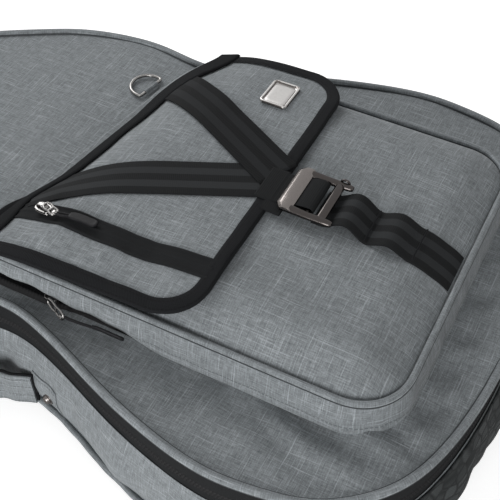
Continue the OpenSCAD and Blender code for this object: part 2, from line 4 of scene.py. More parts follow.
import bpy
import numpy as np
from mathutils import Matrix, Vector

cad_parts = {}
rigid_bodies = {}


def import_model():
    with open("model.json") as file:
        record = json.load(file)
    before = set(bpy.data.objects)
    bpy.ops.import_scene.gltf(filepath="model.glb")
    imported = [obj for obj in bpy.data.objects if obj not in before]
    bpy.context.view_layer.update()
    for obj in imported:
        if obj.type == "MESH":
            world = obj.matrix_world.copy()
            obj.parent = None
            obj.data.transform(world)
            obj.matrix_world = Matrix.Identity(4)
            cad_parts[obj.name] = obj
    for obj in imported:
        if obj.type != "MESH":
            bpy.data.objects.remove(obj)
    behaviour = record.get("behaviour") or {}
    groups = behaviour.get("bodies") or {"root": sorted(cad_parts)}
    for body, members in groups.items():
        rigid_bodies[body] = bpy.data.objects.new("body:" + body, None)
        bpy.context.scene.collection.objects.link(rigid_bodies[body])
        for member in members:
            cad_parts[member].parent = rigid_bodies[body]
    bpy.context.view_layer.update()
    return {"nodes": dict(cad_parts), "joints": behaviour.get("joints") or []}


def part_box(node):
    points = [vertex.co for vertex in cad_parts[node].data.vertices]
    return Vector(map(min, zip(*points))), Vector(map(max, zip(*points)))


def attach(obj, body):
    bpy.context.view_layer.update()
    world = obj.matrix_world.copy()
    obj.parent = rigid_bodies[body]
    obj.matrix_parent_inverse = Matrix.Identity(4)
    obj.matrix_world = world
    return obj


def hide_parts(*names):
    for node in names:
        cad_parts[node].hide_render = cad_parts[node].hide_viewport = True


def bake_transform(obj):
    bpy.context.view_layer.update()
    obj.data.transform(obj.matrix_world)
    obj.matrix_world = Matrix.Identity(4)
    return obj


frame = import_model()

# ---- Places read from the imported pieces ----


def low(node):
    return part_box(node)[0]


def high(node):
    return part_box(node)[1]


def centre_of(node):
    return [(a + b) / 2 for a, b in zip(low(node), high(node))]


BACK_Z = low("back_panel").z
FLOOR_Z = low("back_lining").z
TAPE_Z = low("lower_zip_tape").z
ZIP_Z = low("upper_zip_band").z
BAND_TOP = high("upper_zip_band").z
FRONT_Z = high("front_panel").z
CEILING_Z = high("front_lining").z
RIM_Z = high("pocket_piping").z
DOME_Z = high("pocket_face").z
FLAP_Z = DOME_Z + 0.0003
FLAP_THICK = 0.0025
PIPING_R = (high("front_piping").z - low("front_piping").z) / 2
PIPING_Z = high("front_piping").z - PIPING_R
PANEL_EDGE = 0.003
WALL_THICK = 0.014
WALL_FOOT = BACK_Z + 0.008
BULGE = 0.009
POCKET_X = high("pocket_gusset").x
POCKET_Y = low("pocket_gusset").y
POCKET_CORNER = 0.038
POCKET_BACK = -0.034
RIM_R = 0.0026
ROLL_R = 0.0032
FLAP_X = high("flap_panel").x
HEM_Y = low("flap_panel").y
FLAP_CORNER = 0.038
BINDING_W = 0.0108
DRAPE = 0.115
SEAM_TO_HINGE = 0.02715
BAG_CENTRE = np.array((0, 0, 0.08))
STRAP_WIDE = 0.038
QUILT_SIZE = 0.09
TAPE_THICK = 0.0012
TOOTH_PITCH = 0.003
# Radius of the thin dark tubes that paint the shadow lines beside the piping.
PIPING_SHADOW_R = 0.0007
AROUND_COLS = 960
RIVET_IN = 0.0145
HANDLE_REACH = 0.009
BUCKLE_SHIFT = -0.0055
BAR_WIDE = 0.0142
HINGE_Y0, HINGE_Y1 = low("fabric_hinge").y, high("fabric_hinge").y
MOUTH_Y = low("pocket_zip").y
PAD_VOXEL, PAD_SWELL, PAD_FRAMES, PAD_PRESSURE = 0.005, 0.004, 20, 4.0

_hinge = next(j for j in frame["joints"] if j["name"] == "flap_hinge")
SLANT = math.atan2(_hinge["axis"][1], -_hinge["axis"][0])
SEAM_Y = _hinge["pos_m"][1] + SEAM_TO_HINGE * math.cos(SLANT)


def seam_u(x, y):
    """Distance along the flap's sewn edge."""
    return x * math.cos(SLANT) - (y - SEAM_Y) * math.sin(SLANT)


def seam_v(x, y):
    """Distance past the flap's sewn edge, towards the neck."""
    return x * math.sin(SLANT) + (y - SEAM_Y) * math.cos(SLANT)


def smooth(t):
    """Runs from 0 to 1 with level ends."""
    t = np.clip(t, 0, 1)
    return t * t * (3 - 2 * t)


def ease_ring(ring, passes):
    """Rounds a closed row of points."""
    for _ in range(passes):
        ring = (np.roll(ring, 1, 0) + 2 * ring + np.roll(ring, -1, 0)) / 4
    return ring


def ease_row(row, passes):
    """Rounds an open row of points, in place, between its ends."""
    for _ in range(passes):
        row[1:-1] = (row[:-2] + 2 * row[1:-1] + row[2:]) / 4
    return row


def folds(a, b, wave, seed):
    """Soft folds from -1 to 1, about wave metres apart, over places (a, b)."""
    rng = np.random.default_rng(seed)
    total = 0 * a + 0 * b
    for _ in range(7):
        turn, phase, rate = rng.uniform(0, 2 * math.pi, 2).tolist() + [rng.uniform(0.6, 1.7)]
        along = (a * math.cos(turn) + b * math.sin(turn)) * rate
        total = total + np.sin(2 * math.pi * along / wave + phase)
    return total / 3.2


# ---- The bag's edge, read from the back panel, evenly spaced from the tail's middle ----
EDGE_COUNT = 720


def edge_loop():
    """Points, outward normals and distances along the bag's outline."""
    top = high("back_panel").z - 1e-5
    found = {(round(v.co.x, 6), round(v.co.y, 6))
             for v in frame["nodes"]["back_panel"].data.vertices if v.co.z > top}
    ring = sorted(found, key=lambda p: (math.atan2(p[1], p[0]) + math.pi / 2 - 1e-4) % math.tau)
    points = np.array(ring + [ring[0]])
    run = np.r_[0, np.cumsum(np.linalg.norm(np.diff(points, axis=0), axis=1))]
    even = np.linspace(0, run[-1], EDGE_COUNT, endpoint=False)
    line = np.stack([np.interp(even, run, points[:, i]) for i in (0, 1)], 1)
    line = ease_ring(line, 6)
    along = np.roll(line, -1, 0) - np.roll(line, 1, 0)
    along /= np.linalg.norm(along, axis=1)[:, None]
    out = np.stack([along[:, 1], -along[:, 0]], 1)
    return line - out * PANEL_EDGE, out, run[-1]


EDGE, EDGE_OUT, EDGE_LENGTH = edge_loop()
EDGE_S = np.linspace(0, EDGE_LENGTH, EDGE_COUNT + 1)


def around(s, out):
    """Places at distance s along the bag's edge, moved out from it."""
    s = np.asarray(s, float) % EDGE_LENGTH
    col = [np.interp(s, EDGE_S, np.r_[c, c[0]]) for c in (*EDGE.T, *EDGE_OUT.T)]
    return col[0] + out * col[2], col[1] + out * col[3]


def edge_at(y, side):
    """Distance along the edge where it passes y on the side x > 0 or x < 0."""
    half = EDGE_COUNT // 2
    if side > 0:
        return float(np.interp(y, EDGE[:half, 1], EDGE_S[:half]))
    return float(np.interp(-y, -EDGE[half:, 1], EDGE_S[half:-1]))


def wall_out(z):
    """How far the side wall stands out from the edge at height z."""
    t = np.clip((z - WALL_FOOT) / (TAPE_Z - WALL_FOOT), 0, 1)
    return PANEL_EDGE + BULGE * np.sin(math.pi * t)


# ---- Modelling tools ----
def deselect():
    if bpy.context.object and bpy.context.object.mode != "OBJECT":
        bpy.ops.object.mode_set(mode="OBJECT")
    for o in bpy.context.view_layer.objects:
        o.select_set(False)


def pick(piece):
    deselect()
    piece.hide_viewport = False
    piece.select_set(True)
    bpy.context.view_layer.objects.active = piece


def edit_all(piece):
    pick(piece)
    bpy.ops.object.mode_set(mode="EDIT")
    bpy.ops.mesh.select_all(action="SELECT")


def done_editing():
    bpy.ops.object.mode_set(mode="OBJECT")


def modify(piece, kind, **settings):
    """Adds a modifier with its settings and applies it."""
    pick(piece)
    bpy.ops.object.modifier_add(type=kind)
    m = piece.modifiers[-1]
    for key, value in settings.items():
        setattr(m, key, value)
    bpy.ops.object.modifier_apply(modifier=m.name)
    return piece


def coords(piece):
    co = np.empty(len(piece.data.vertices) * 3)
    piece.data.vertices.foreach_get("co", co)
    return co.reshape(-1, 3)


def set_coords(piece, co):
    piece.data.vertices.foreach_set("co", np.asarray(co, float).ravel())
    piece.data.update()


def reshape(piece, co):
    """Moves a closed piece's points and turns its faces out again."""
    set_coords(piece, co)
    face_out_all(piece)


def set_uv(piece, uv):
    """Gives each corner its point's place on the cloth, in metres."""
    mesh = piece.data
    layer = mesh.uv_layers.active or mesh.uv_layers.new(name="cloth")
    ids = np.empty(len(mesh.loops), int)
    mesh.loops.foreach_get("vertex_index", ids)
    layer.data.foreach_set("uv", np.asarray(uv, float)[ids].ravel())


def face_outwards(piece, inwards=False):
    """Turns an open sheet's faces away from the bag's middle, or towards it."""
    mesh = piece.data
    n = len(mesh.polygons)
    normal, centre = np.empty(n * 3), np.empty(n * 3)
    mesh.polygons.foreach_get("normal", normal)
    mesh.polygons.foreach_get("center", centre)
    away = ((centre.reshape(-1, 3) - BAG_CENTRE) * normal.reshape(-1, 3)).sum()
    if (away < 0) != inwards:
        edit_all(piece)
        bpy.ops.mesh.flip_normals()
        done_editing()


def close_seams(piece):
    edit_all(piece)
    bpy.ops.mesh.remove_doubles(threshold=1e-6)
    done_editing()


def face_out_all(piece):
    edit_all(piece)
    bpy.ops.mesh.normals_make_consistent(inside=False)
    done_editing()


def cap_ends(piece):
    edit_all(piece)
    bpy.ops.mesh.select_all(action="DESELECT")
    bpy.ops.mesh.select_non_manifold()
    bpy.ops.mesh.fill_holes(sides=0)
    done_editing()


def shade(piece, degrees=None):
    pick(piece)
    if degrees is None:
        bpy.ops.object.shade_smooth()
    else:
        bpy.ops.object.shade_smooth_by_angle(angle=math.radians(degrees))
    return piece


def paint(piece, *materials):
    piece.data.materials.clear()
    for m in materials:
        piece.data.materials.append(m)


CUT = {}


def keep_cut(name, width, length):
    """Keeps the flat size of a straight strip."""
    CUT[name] = float(width), float(length), float(width) * float(length)


def measure_cut(name, grid):
    """Keeps the flat size of a laid grid: its longest row and column, and its area."""
    across, down = np.diff(grid, axis=1), np.diff(grid, axis=0)
    length = np.linalg.norm(across, axis=2).sum(1).max()
    width = np.linalg.norm(down, axis=2).sum(0).max()
    one = np.linalg.norm(np.cross(across[:-1], down[:, :-1]), axis=2)
    two = np.linalg.norm(np.cross(across[1:], down[:, 1:]), axis=2)
    CUT[name] = float(width), float(length), float((one + two).sum() / 2)


# what each cloth piece is held by: how it is held, and what it rests on or is sewn to
SHEETS = {
    "side_wall_skin": ("stretched", "back_panel"), "side_wall_lining": ("stretched", "side_wall"),
    "side_wall_lip": ("stretched", "side_wall"), "back_panel_cloth": ("stretched", "back_pads"),
    "back_lining_quilt": ("laid", "back_panel"), "lower_zip_tape_strip": ("stretched", "side_wall"),
    "fabric_hinge_cloth": ("stretched", "side_wall"),
    "bottom_boot_skin": ("stretched", "side_wall"), "head_boot_skin": ("stretched", "side_wall"),
    "handle_patch_cloth": ("stretched", "side_wall"),
    "handle_outer_cloth": ("hung", "handle_patches"), "handle_inner_band": ("hung", "side_handle"),
    "cradle_strap_web": ("stretched", "neck_cradle"), "hanging_loop_web": ("hung", "side_wall"),
    "strap_webbing_left_strip": ("laid", "shoulder_pad_left"),
    "strap_webbing_right_strip": ("laid", "shoulder_pad_right"),
    "front_panel_cloth": ("stretched", "front_lining"),
    "lid_inner_rim": ("stretched", "front_panel"), "front_lining_quilt": ("stretched", "front_panel"),
    "upper_zip_band_cloth": ("stretched", "front_panel"),
    "pocket_face_cloth": ("stretched", "pocket_gusset"),
    "pocket_gusset_cloth": ("stretched", "front_panel"), "lower_strap_web": ("laid", "pocket_face"),
    "flap_cloth": ("draped", "pocket_face"), "flap_binding_ribbon": ("folded", "flap_panel"),
    "top_band_ribbon": ("draped", "flap_panel"), "v_straps_web": ("draped", "flap_panel"),
    "strap_junction_patch": ("laid", "flap_panel"), "buckle_loop_web": ("folded", "flap_panel"),
    "dring_tab_cloth": ("folded", "front_panel"), "flap_zip_chain": ("laid", "flap_panel"),
}


def declare_sheet(piece):
    """Looks up the flat size kept for a piece and floors its width; nothing more is done with it."""
    width, length, area = CUT[piece.name]
    width = max(width, 0.0102)


def placed_grid(name, cols, rows, place):
    """A grid moved to its places. place(u, v) gives x, y, z and the cloth's own u and v."""
    deselect()
    bpy.ops.mesh.primitive_grid_add(x_subdivisions=cols, y_subdivisions=rows, size=2)
    piece = bpy.context.object
    piece.name = piece.data.name = name
    flat = (coords(piece) + 1) / 2
    x, y, z, a, b = place(flat[:, 0], flat[:, 1])
    set_uv(piece, np.stack([a, b], 1))
    laid = np.stack([x, y, z], 1)
    set_coords(piece, laid)
    return piece, laid


def lay_cloth(name, cols, rows, place, closed=False, inwards=False, thick=0.0):
    """A cloth laid on a surface, its cut size kept, its faces turned out or inwards."""
    piece, laid = placed_grid(name, cols, rows, place)
    measure_cut(name, laid.reshape(rows + 1, cols + 1, 3))
    if closed:
        close_seams(piece)
    face_outwards(piece, inwards)
    if thick:
        modify(piece, "SOLIDIFY", thickness=thick, offset=-1.0)
    return shade(piece)


def nth(rows, share):
    """The numbers of the rows that lie at a share, 0 to 1, of the way down."""
    return np.rint(share * (len(rows) - 1)).astype(int)


def lay_solid(name, cols, rows, place):
    """A skin laid like a closed cloth, with its ends capped."""
    piece = lay_cloth(name, cols, rows, place, closed=True)
    cap_ends(piece)
    face_out_all(piece)
    return piece


def run_of(path):
    """Distance along a path at each of its points."""
    return np.r_[0, np.cumsum(np.linalg.norm(np.diff(path, axis=0), axis=1))]


def even_path(points, spacing, smoothing=0):
    """Points spaced evenly along a path, rounded by the smoothing passes."""
    path = np.asarray(points, float)
    run = run_of(path)
    count = max(2, int(run[-1] / spacing) + 1)
    even = np.linspace(0, run[-1], count)
    path = np.stack([np.interp(even, run, path[:, i]) for i in range(3)], 1)
    return ease_row(path, smoothing)


def band_section(width, thick, belly=0.0):
    """The section of a flat band: across and up, with round selvedges."""
    h, r = width / 2, thick / 2
    across = [-h + r, -h / 2, 0, h / 2, h - r]
    top = [(a, thick + belly * (1 - (a / h) ** 2)) for a in across]
    side = [(h - r * 0.3, thick * 0.86), (h, r), (h - r * 0.3, thick * 0.14)]
    under = [(a, 0.0) for a in reversed(across)]
    return top + side + under + [(-a, b) for a, b in reversed(side)]


def round_section(radius, count=12):
    return [(radius * math.cos(math.tau * i / count), radius * math.sin(math.tau * i / count))
            for i in range(count)]


def sweep(name, path, section, side=None, up=None, closed=False, capped=True):
    """A section carried along a path. side or up, one vector or one a point, holds it level."""
    path = np.asarray(path, float)
    n = len(path)
    if closed:
        along = np.roll(path, -1, 0) - np.roll(path, 1, 0)
    else:
        along = np.gradient(path, axis=0)
    along /= np.linalg.norm(along, axis=1)[:, None]
    if side is not None:
        across = np.broadcast_to(np.asarray(side, float), (n, 3))
        rise = np.cross(across, along)
    else:
        lift = np.broadcast_to(np.asarray((0, 0, 1) if up is None else up, float), (n, 3))
        across = np.cross(along, lift)
        across = across / np.linalg.norm(across, axis=1)[:, None]
        rise = np.cross(across, along)
    rise = rise / np.linalg.norm(rise, axis=1)[:, None]
    ring = np.array(section + [section[0]])
    if closed:
        path, across, rise = (np.vstack([k, k[:1]]) for k in (path, across, rise))
    run = run_of(path)

    def place(u, v):
        i = nth(path, u)
        j = nth(ring, v)
        p = path[i] + across[i] * ring[j, :1] + rise[i] * ring[j, 1:]
        return *p.T, run[i], ring[j, 0]

    piece, _ = placed_grid(name, len(path) - 1, len(ring) - 1, place)
    keep_cut(name, np.ptp(ring[:, 0]), run[-1])
    close_seams(piece)
    if capped and not closed:
        cap_ends(piece)
    face_out_all(piece)
    return shade(piece, 50)


def block(name, centre, size, edge, segments=3):
    """A box with rounded edges."""
    deselect()
    bpy.ops.mesh.primitive_cube_add(size=1, location=centre, scale=size)
    piece = bpy.context.object
    piece.name = piece.data.name = name
    bpy.ops.object.transform_apply(location=True, rotation=True, scale=True)
    modify(piece, "BEVEL", width=edge, segments=segments)
    return shade(piece, 40)


def join(name, *parts):
    cuts = [CUT[p.name] for p in parts if p.name in CUT]
    if len(cuts) == len(parts):
        widths, lengths, areas = zip(*cuts)
        CUT[name] = max(widths), sum(lengths), sum(areas)
    deselect()
    for p in parts:
        p.select_set(True)
    bpy.context.view_layer.objects.active = parts[0]
    bpy.ops.object.join()
    parts[0].name = parts[0].data.name = name
    return parts[0]


def finish_piece(piece, body, material, slot, *replaced):
    """Paints a piece, puts it on its body and hides the CAD parts it replaces."""
    if material is not None:
        paint(piece, *(material if isinstance(material, (list, tuple)) else (material,)))
    if body:
        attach(piece, body)
    if replaced:
        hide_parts(*replaced)
    if piece.name in SHEETS:
        declare_sheet(piece)


# ---- Shader groups ----
def is_socket(value):
    return isinstance(value, bpy.types.NodeSocket)


def plug(node, inputs):
    """Links sockets to a node's inputs and sets its constant values."""
    for key, value in inputs.items():
        if is_socket(value):
            node.id_data.links.new(value, node.inputs[key])
        else:
            node.inputs[key].default_value = value
    return node


def add(tree, kind, inputs=None, **settings):
    n = tree.nodes.new("ShaderNode" + kind)
    for key, value in settings.items():
        setattr(n, key, value)
    return plug(n, inputs or {})


def calc(operation, a, b=0.0):
    tree = (a if is_socket(a) else b).id_data
    return add(tree, "Math", {0: a, 1: b}, operation=operation).outputs[0]


def times(a, b):
    return calc("MULTIPLY", a, b)


def plus(a, b):
    return calc("ADD", a, b)


def less(a, b):
    return calc("SUBTRACT", a, b)


def stretch(vector, x, y, z=1.0):
    return add(vector.id_data, "Mapping", {"Vector": vector, "Scale": (x, y, z)},
               vector_type="POINT").outputs[0]


def noise(vector, scale, detail=2.0, roughness=0.5):
    return add(vector.id_data, "TexNoise", {
        "Vector": vector, "Scale": scale, "Detail": detail, "Roughness": roughness}).outputs[0]


def spread(value, low_in, high_in, low_out=0.0, high_out=1.0):
    return add(value.id_data, "MapRange", {
        "Value": value, "From Min": low_in, "From Max": high_in, "To Min": low_out,
        "To Max": high_out}).outputs[0]


def split(vector):
    """A vector's x and y."""
    return add(vector.id_data, "SeparateXYZ", {0: vector}).outputs[:2]


def new_group(name, inputs, outputs):
    """A node group with named inputs. Returns it, its given values and its output node."""
    tree = bpy.data.node_groups.new(name, "ShaderNodeTree")
    for label, kind, value in inputs:
        s = tree.interface.new_socket(label, in_out="INPUT", socket_type="NodeSocket" + kind)
        if kind != "Vector":
            s.default_value = value
    for label in outputs:
        tree.interface.new_socket(label, in_out="OUTPUT", socket_type="NodeSocketFloat")
    return tree, tree.nodes.new("NodeGroupInput").outputs, tree.nodes.new("NodeGroupOutput")


def weave_group():
    """Plain weave with slubs: the shade of its threads and their height."""
    tree, given, out = new_group(
        "Slub weave", [("Cloth", "Vector", 0), ("Threads", "Float", 1500.0),
                       ("Slub", "Float", 0.5)], ["Shade", "Height"])
    cloth = given["Cloth"]
    both = times(plus(noise(stretch(cloth, 95, 1150), 1.0, 3.0, 0.65),
                      noise(stretch(cloth, 1150, 95), 1.0, 3.0, 0.65)), 0.5)
    long_threads = [noise(stretch(cloth, *rate), 1.0, 1.0) for rate in ((19, 950), (950, 19))]
    slubs = calc("MAXIMUM", *(spread(k, 0.58, 0.78) for k in long_threads))
    mottle, fine = noise(cloth, 170.0, 3.0, 0.6), noise(cloth, 800.0, 3.0, 0.7)
    tone = plus(times(spread(both, 0.3, 0.7), 0.8), times(mottle, 0.2))
    tone = plus(times(tone, 0.64), times(fine, 0.36))
    rate = times(given["Threads"], math.pi)
    across, down = (calc("SINE", times(part, rate)) for part in split(cloth))
    threads = calc("ABSOLUTE", times(across, down))
    plug(out, {"Shade": plus(tone, times(slubs, given["Slub"])),
               "Height": plus(times(threads, 0.5), times(both, 0.8))})
    return tree


def stitch_group():
    """One row of stitches at a distance across the cloth."""
    tree, given, out = new_group(
        "Stitch row", [("Cloth", "Vector", 0), ("Row", "Float", 0.0), ("Pitch", "Float", 0.0032),
                       ("Width", "Float", 0.0012)], ["Mask"])
    along, across = split(given["Cloth"])
    step = calc("FRACT", calc("DIVIDE", along, given["Pitch"]))
    dash = calc("LESS_THAN", calc("ABSOLUTE", less(step, 0.5)), 0.36)
    off = calc("ABSOLUTE", less(across, given["Row"]))
    line = calc("LESS_THAN", off, times(given["Width"], 0.5))
    plug(out, {"Mask": times(dash, line)})
    return tree


def rib_group():
    """Ribs across a ribbon, with a fine fuzz."""
    tree, given, out = new_group(
        "Ribbon ribs", [("Cloth", "Vector", 0), ("Pitch", "Float", 0.0014)], ["Height"])
    turn = calc("DIVIDE", times(split(given["Cloth"])[0], math.tau), given["Pitch"])
    fuzz = times(noise(given["Cloth"], 1500.0, 1.0), 0.3)
    plug(out, {"Height": plus(plus(times(calc("SINE", turn), 0.4), 1.0), fuzz)})
    return tree


def wear_group():
    """Scuffs and dust for hard finishes."""
    tree, given, out = new_group(
        "Handling wear", [("Place", "Vector", 0), ("Scale", "Float", 400.0)], ["Scuff", "Grain"])
    big = noise(given["Place"], given["Scale"], 4.0, 0.7)
    streak = noise(stretch(given["Place"], 300, 3000, 300), 1.0, 2.0)
    plug(out, {"Scuff": spread(big, 0.42, 0.72), "Grain": streak})
    return tree


WEAVE, STITCH, RIBS, WEAR = weave_group(), stitch_group(), rib_group(), wear_group()


def use(which, **inputs):
    """Places a node group and returns its outputs."""
    tree = next(value for value in inputs.values() if is_socket(value)).id_data
    n = tree.nodes.new("ShaderNodeGroup")
    n.node_tree = which
    return plug(n, inputs).outputs


# ---- Materials ----
def new_material(name, roughness, metallic=0.0, specular=0.5, sheen=0.0, sheen_rough=0.5,
                 place="UV"):
    """A material, its shader and the coordinates that its pattern follows."""
    m = bpy.data.materials.new(name)
    m.use_nodes = True
    shader = plug(m.node_tree.nodes["Principled BSDF"], {
        "Roughness": roughness, "Metallic": metallic, "Specular IOR Level": specular,
        "Sheen Weight": sheen, "Sheen Roughness": sheen_rough})
    return m, shader, add(m.node_tree, "TexCoord").outputs[place]


def dress(m, shader, colour, height=None, strength=0.5, distance=0.0005):
    """Gives a material its colour and relief."""
    plug(shader, {"Base Color": colour})
    if height is not None:
        relief = add(m.node_tree, "Bump",
                     {"Height": height, "Strength": strength, "Distance": distance})
        plug(shader, {"Normal": relief.outputs[0]})
    return m


def mix_colour(factor, dark, light):
    n = add(factor.id_data, "Mix", data_type="RGBA")
    ends = [c if is_socket(c) else (*c, 1.0) for c in (dark, light)]
    return plug(n, {0: factor, 6: ends[0], 7: ends[1]}).outputs[2]


def scaled(colour, share):
    return tuple(c * share for c in colour)


def grey_cloth(name="grey melange cloth", rows=()):
    """Cool grey melange weave, with stitch rows where the cloth's second coordinate says."""
    m, shader, uv = new_material(name, 0.85, specular=0.25, sheen=0.15, sheen_rough=0.4)
    weave = use(WEAVE, Cloth=uv, Threads=1500.0, Slub=0.27)
    ramp = add(m.node_tree, "ValToRGB", {"Fac": weave["Shade"]})
    stops = ramp.color_ramp.elements
    stops[0].position, stops[0].color = 0.24, (0.082, 0.090, 0.095, 1)
    stops[1].position, stops[1].color = 1.0, (0.44, 0.47, 0.49, 1)
    stops.new(0.52).color = (0.196, 0.213, 0.223, 1)
    colour, height = ramp.outputs["Color"], weave["Height"]
    for row in rows:
        mask = use(STITCH, Cloth=uv, Row=row)["Mask"]
        colour = mix_colour(times(mask, 0.75), colour, (0.09, 0.10, 0.104))
        height = less(height, times(mask, 1.5))
    return dress(m, shader, colour, height, 0.35, 0.0004)


def webbing(name="striped webbing", stripes=True, base=(0.0086, 0.0091, 0.0096)):
    """Black webbing with five lengthwise bands of two weaves."""
    m, shader, uv = new_material(name, 0.8, specular=0.1)
    height = use(RIBS, Cloth=uv, Pitch=0.0016)["Height"]
    tone = use(WEAVE, Cloth=uv, Threads=1100.0, Slub=0.0)["Shade"]
    light = scaled(base, 3.3)
    colour = mix_colour(times(tone, 0.22), base, light)
    if stripes:
        across = times(split(uv)[1], 5.0 / STRAP_WIDE)
        sleek = calc("GREATER_THAN", calc("FRACT", times(plus(across, 0.5), 0.5)), 0.5)
        colour = mix_colour(times(sleek, 0.85), colour, light)
        height = times(height, spread(sleek, 0, 1, 1.0, 0.35))
    return dress(m, shader, colour, height, 0.5, 0.0004)


def ribbon(name="ribbed binding", rows=(), base=(0.0072, 0.0076, 0.0084), pitch=0.0014,
           specular=0.1):
    """Black grosgrain ribbon with cross ribs and stitch rows."""
    m, shader, uv = new_material(name, 0.85, specular=specular)
    height = use(RIBS, Cloth=uv, Pitch=pitch)["Height"]
    # The colour follows the ribs: painted shade in the troughs between them and lighter crests.
    colour = mix_colour(height, scaled(base, 0.7), scaled(base, 1.5))
    for row in rows:
        mask = use(STITCH, Cloth=uv, Row=row)["Mask"]
        colour = mix_colour(mask, colour, (0.008, 0.008, 0.009))
        height = less(height, mask)
    return dress(m, shader, colour, height, 0.6, 0.0005)


def black_cloth(name="black cloth", base=(0.010, 0.0105, 0.0115), threads=1300.0, strength=0.4):
    m, shader, uv = new_material(name, 0.8, specular=0.2, sheen=0.04)
    weave = use(WEAVE, Cloth=uv, Threads=threads, Slub=0.1)
    colour = mix_colour(weave["Shade"], scaled(base, 0.6), scaled(base, 1.7))
    return dress(m, shader, colour, weave["Height"], strength, 0.0005)


def spacer_mesh():
    """Open knitted mesh, with a honeycomb of holes."""
    m, shader, uv = new_material("spacer mesh", 0.85, specular=0.2, sheen=0.1)
    cells = add(m.node_tree, "TexVoronoi", {"Vector": uv, "Scale": 260.0, "Randomness": 0.25},
                feature="F1")
    hole = spread(cells.outputs["Distance"], 0.28, 0.5)
    colour = mix_colour(hole, (0.004, 0.004, 0.005), (0.03, 0.031, 0.034))
    return dress(m, shader, colour, hole, 0.8, 0.0012)


def lining(name="brushed lining", quilted=False):
    """Soft brushed lining, quilted in squares if asked."""
    m, shader, uv = new_material(name, 0.95, specular=0.1, sheen=0.4, sheen_rough=0.6)
    height = noise(uv, 900.0, 4.0, 0.7)
    tone = plus(times(height, 0.6), times(noise(uv, 30.0, 3.0), 0.5))
    colour = mix_colour(tone, (0.02, 0.021, 0.025), (0.06, 0.062, 0.07))
    if quilted:
        lines = [calc("ABSOLUTE", calc("SINE", times(part, math.pi / QUILT_SIZE)))
                 for part in split(uv)]
        seam = spread(calc("MINIMUM", *lines), 0.0, 0.12)
        colour = mix_colour(seam, (0.01, 0.01, 0.012), colour)
        height = plus(times(height, 0.2), seam)
    return dress(m, shader, colour, height, 0.5, 0.001)


def boot_rubber():
    """Matte rubbery cloth with a dense relief of leaves, each veined its own way."""
    m, shader, uv = new_material("embossed boot", 0.6, specular=0.25)
    cell = {"Vector": stretch(uv, 78, 135), "Scale": 1.0, "Randomness": 0.75}
    chance = split(add(m.node_tree, "TexVoronoi", cell, feature="F1").outputs["Color"])
    edge = add(m.node_tree, "TexVoronoi", cell, feature="DISTANCE_TO_EDGE").outputs["Distance"]
    lean = spread(calc("GREATER_THAN", chance[0], 0.5), 0, 1, -1.0, 1.0)
    x, y = split(uv)
    veins = calc("SINE", times(plus(x, times(y, lean)), math.tau / 0.0021))
    level = spread(chance[1], 0, 1, 0.35, 1.0)
    height = times(spread(edge, 0.02, 0.16), plus(level, times(veins, 0.10)))
    # The colour follows the relief: painted shade in the gaps between leaves and along the veins,
    # lighter on the raised leaves.
    tone = plus(times(height, 0.7), times(noise(uv, 60.0, 4.0, 0.7), 0.25))
    colour = mix_colour(tone, (0.0065, 0.0078, 0.0081), (0.048, 0.054, 0.055))
    plug(shader, {"Roughness": spread(height, 0.0, 1.0, 0.7, 0.5)})
    return dress(m, shader, colour, height, 0.7, 0.0012)


def metal(name, base, roughness):
    """Plated metal with fine grain, smears and scuffs."""
    m, shader, place = new_material(name, roughness, metallic=1.0, place="Object")
    wear = use(WEAR, Place=place, Scale=400.0)
    colour = mix_colour(times(wear["Scuff"], 0.25), base, scaled(base, 0.55))
    plug(shader, {"Roughness": plus(times(wear["Scuff"], 0.12), roughness)})
    return dress(m, shader, colour, wear["Grain"], 0.08, 0.0002)


def soft_rubber(name="pull rubber", base=(0.008, 0.008, 0.009), roughness=0.5):
    m, shader, place = new_material(name, roughness, specular=0.15, place="Object")
    dust = spread(noise(place, 300.0, 4.0, 0.7), 0.45, 0.8)
    colour = mix_colour(dust, base, scaled(base, 2.2))
    return dress(m, shader, colour, noise(place, 2500.0, 3.0), 0.2, 0.0002)


def nylon():
    m, shader, place = new_material("zip nylon", 0.62, specular=0.2, place="Object")
    tone = noise(place, 500.0, 2.0)
    return dress(m, shader, mix_colour(tone, (0.004, 0.004, 0.0045), (0.012, 0.012, 0.013)))


GREY = grey_cloth()
GREY_WALL = grey_cloth("grey melange wall", rows=(0.0715,))
GREY_GUSSET = grey_cloth("grey melange gusset", rows=(0.0075,))
WEBBING = webbing()
# A darker copy of the striped webbing for the far V-strap: painted shade.
SHADED_FAR_WEBBING = webbing("far webbing shaded", base=(0.0050, 0.0053, 0.0057))
PLAIN_WEBBING = webbing("plain webbing", stripes=False)
RIBBON = ribbon(rows=(0.0035, 0.0105))
# Its base is a little darker than the binding ribbon's: painted shade to tone down the back lamp's
# light on the band.
TOP_RIBBON = ribbon("top ribbon", rows=(0.003, 0.0242), base=(0.0066, 0.0070, 0.0076),
                    specular=0.05)
ZIP_TAPE = ribbon("zip tape", base=(0.0095, 0.0100, 0.0106), pitch=0.0011)
BLACK = black_cloth()
MESH = spacer_mesh()
# Dark grey cloth for thin tubes beside the piping: painted shadow lines in the grooves on both sides
# of it.
PIPING_SHADOW = black_cloth("seam shadow", base=(0.045, 0.049, 0.052), threads=1500.0)
LINING = lining()
QUILT = lining("quilted lining", quilted=True)
BOOT = boot_rubber()
GUNMETAL = metal("gunmetal", (0.17, 0.155, 0.148), 0.2)
# A darker copy of the gunmetal for the buckle's lower parts: painted shade and painted darker
# reflections.
SHADED_GUNMETAL = metal("shaded gunmetal", (0.062, 0.056, 0.054), 0.16)
NICKEL = metal("bright nickel", (0.21, 0.205, 0.20), 0.17)
BRUSHED = metal("brushed badge", (0.44, 0.43, 0.42), 0.38)
RUBBER = soft_rubber()
NYLON = nylon()
CORD = black_cloth("pull cord", base=(0.007, 0.007, 0.008), threads=2500.0, strength=0.7)


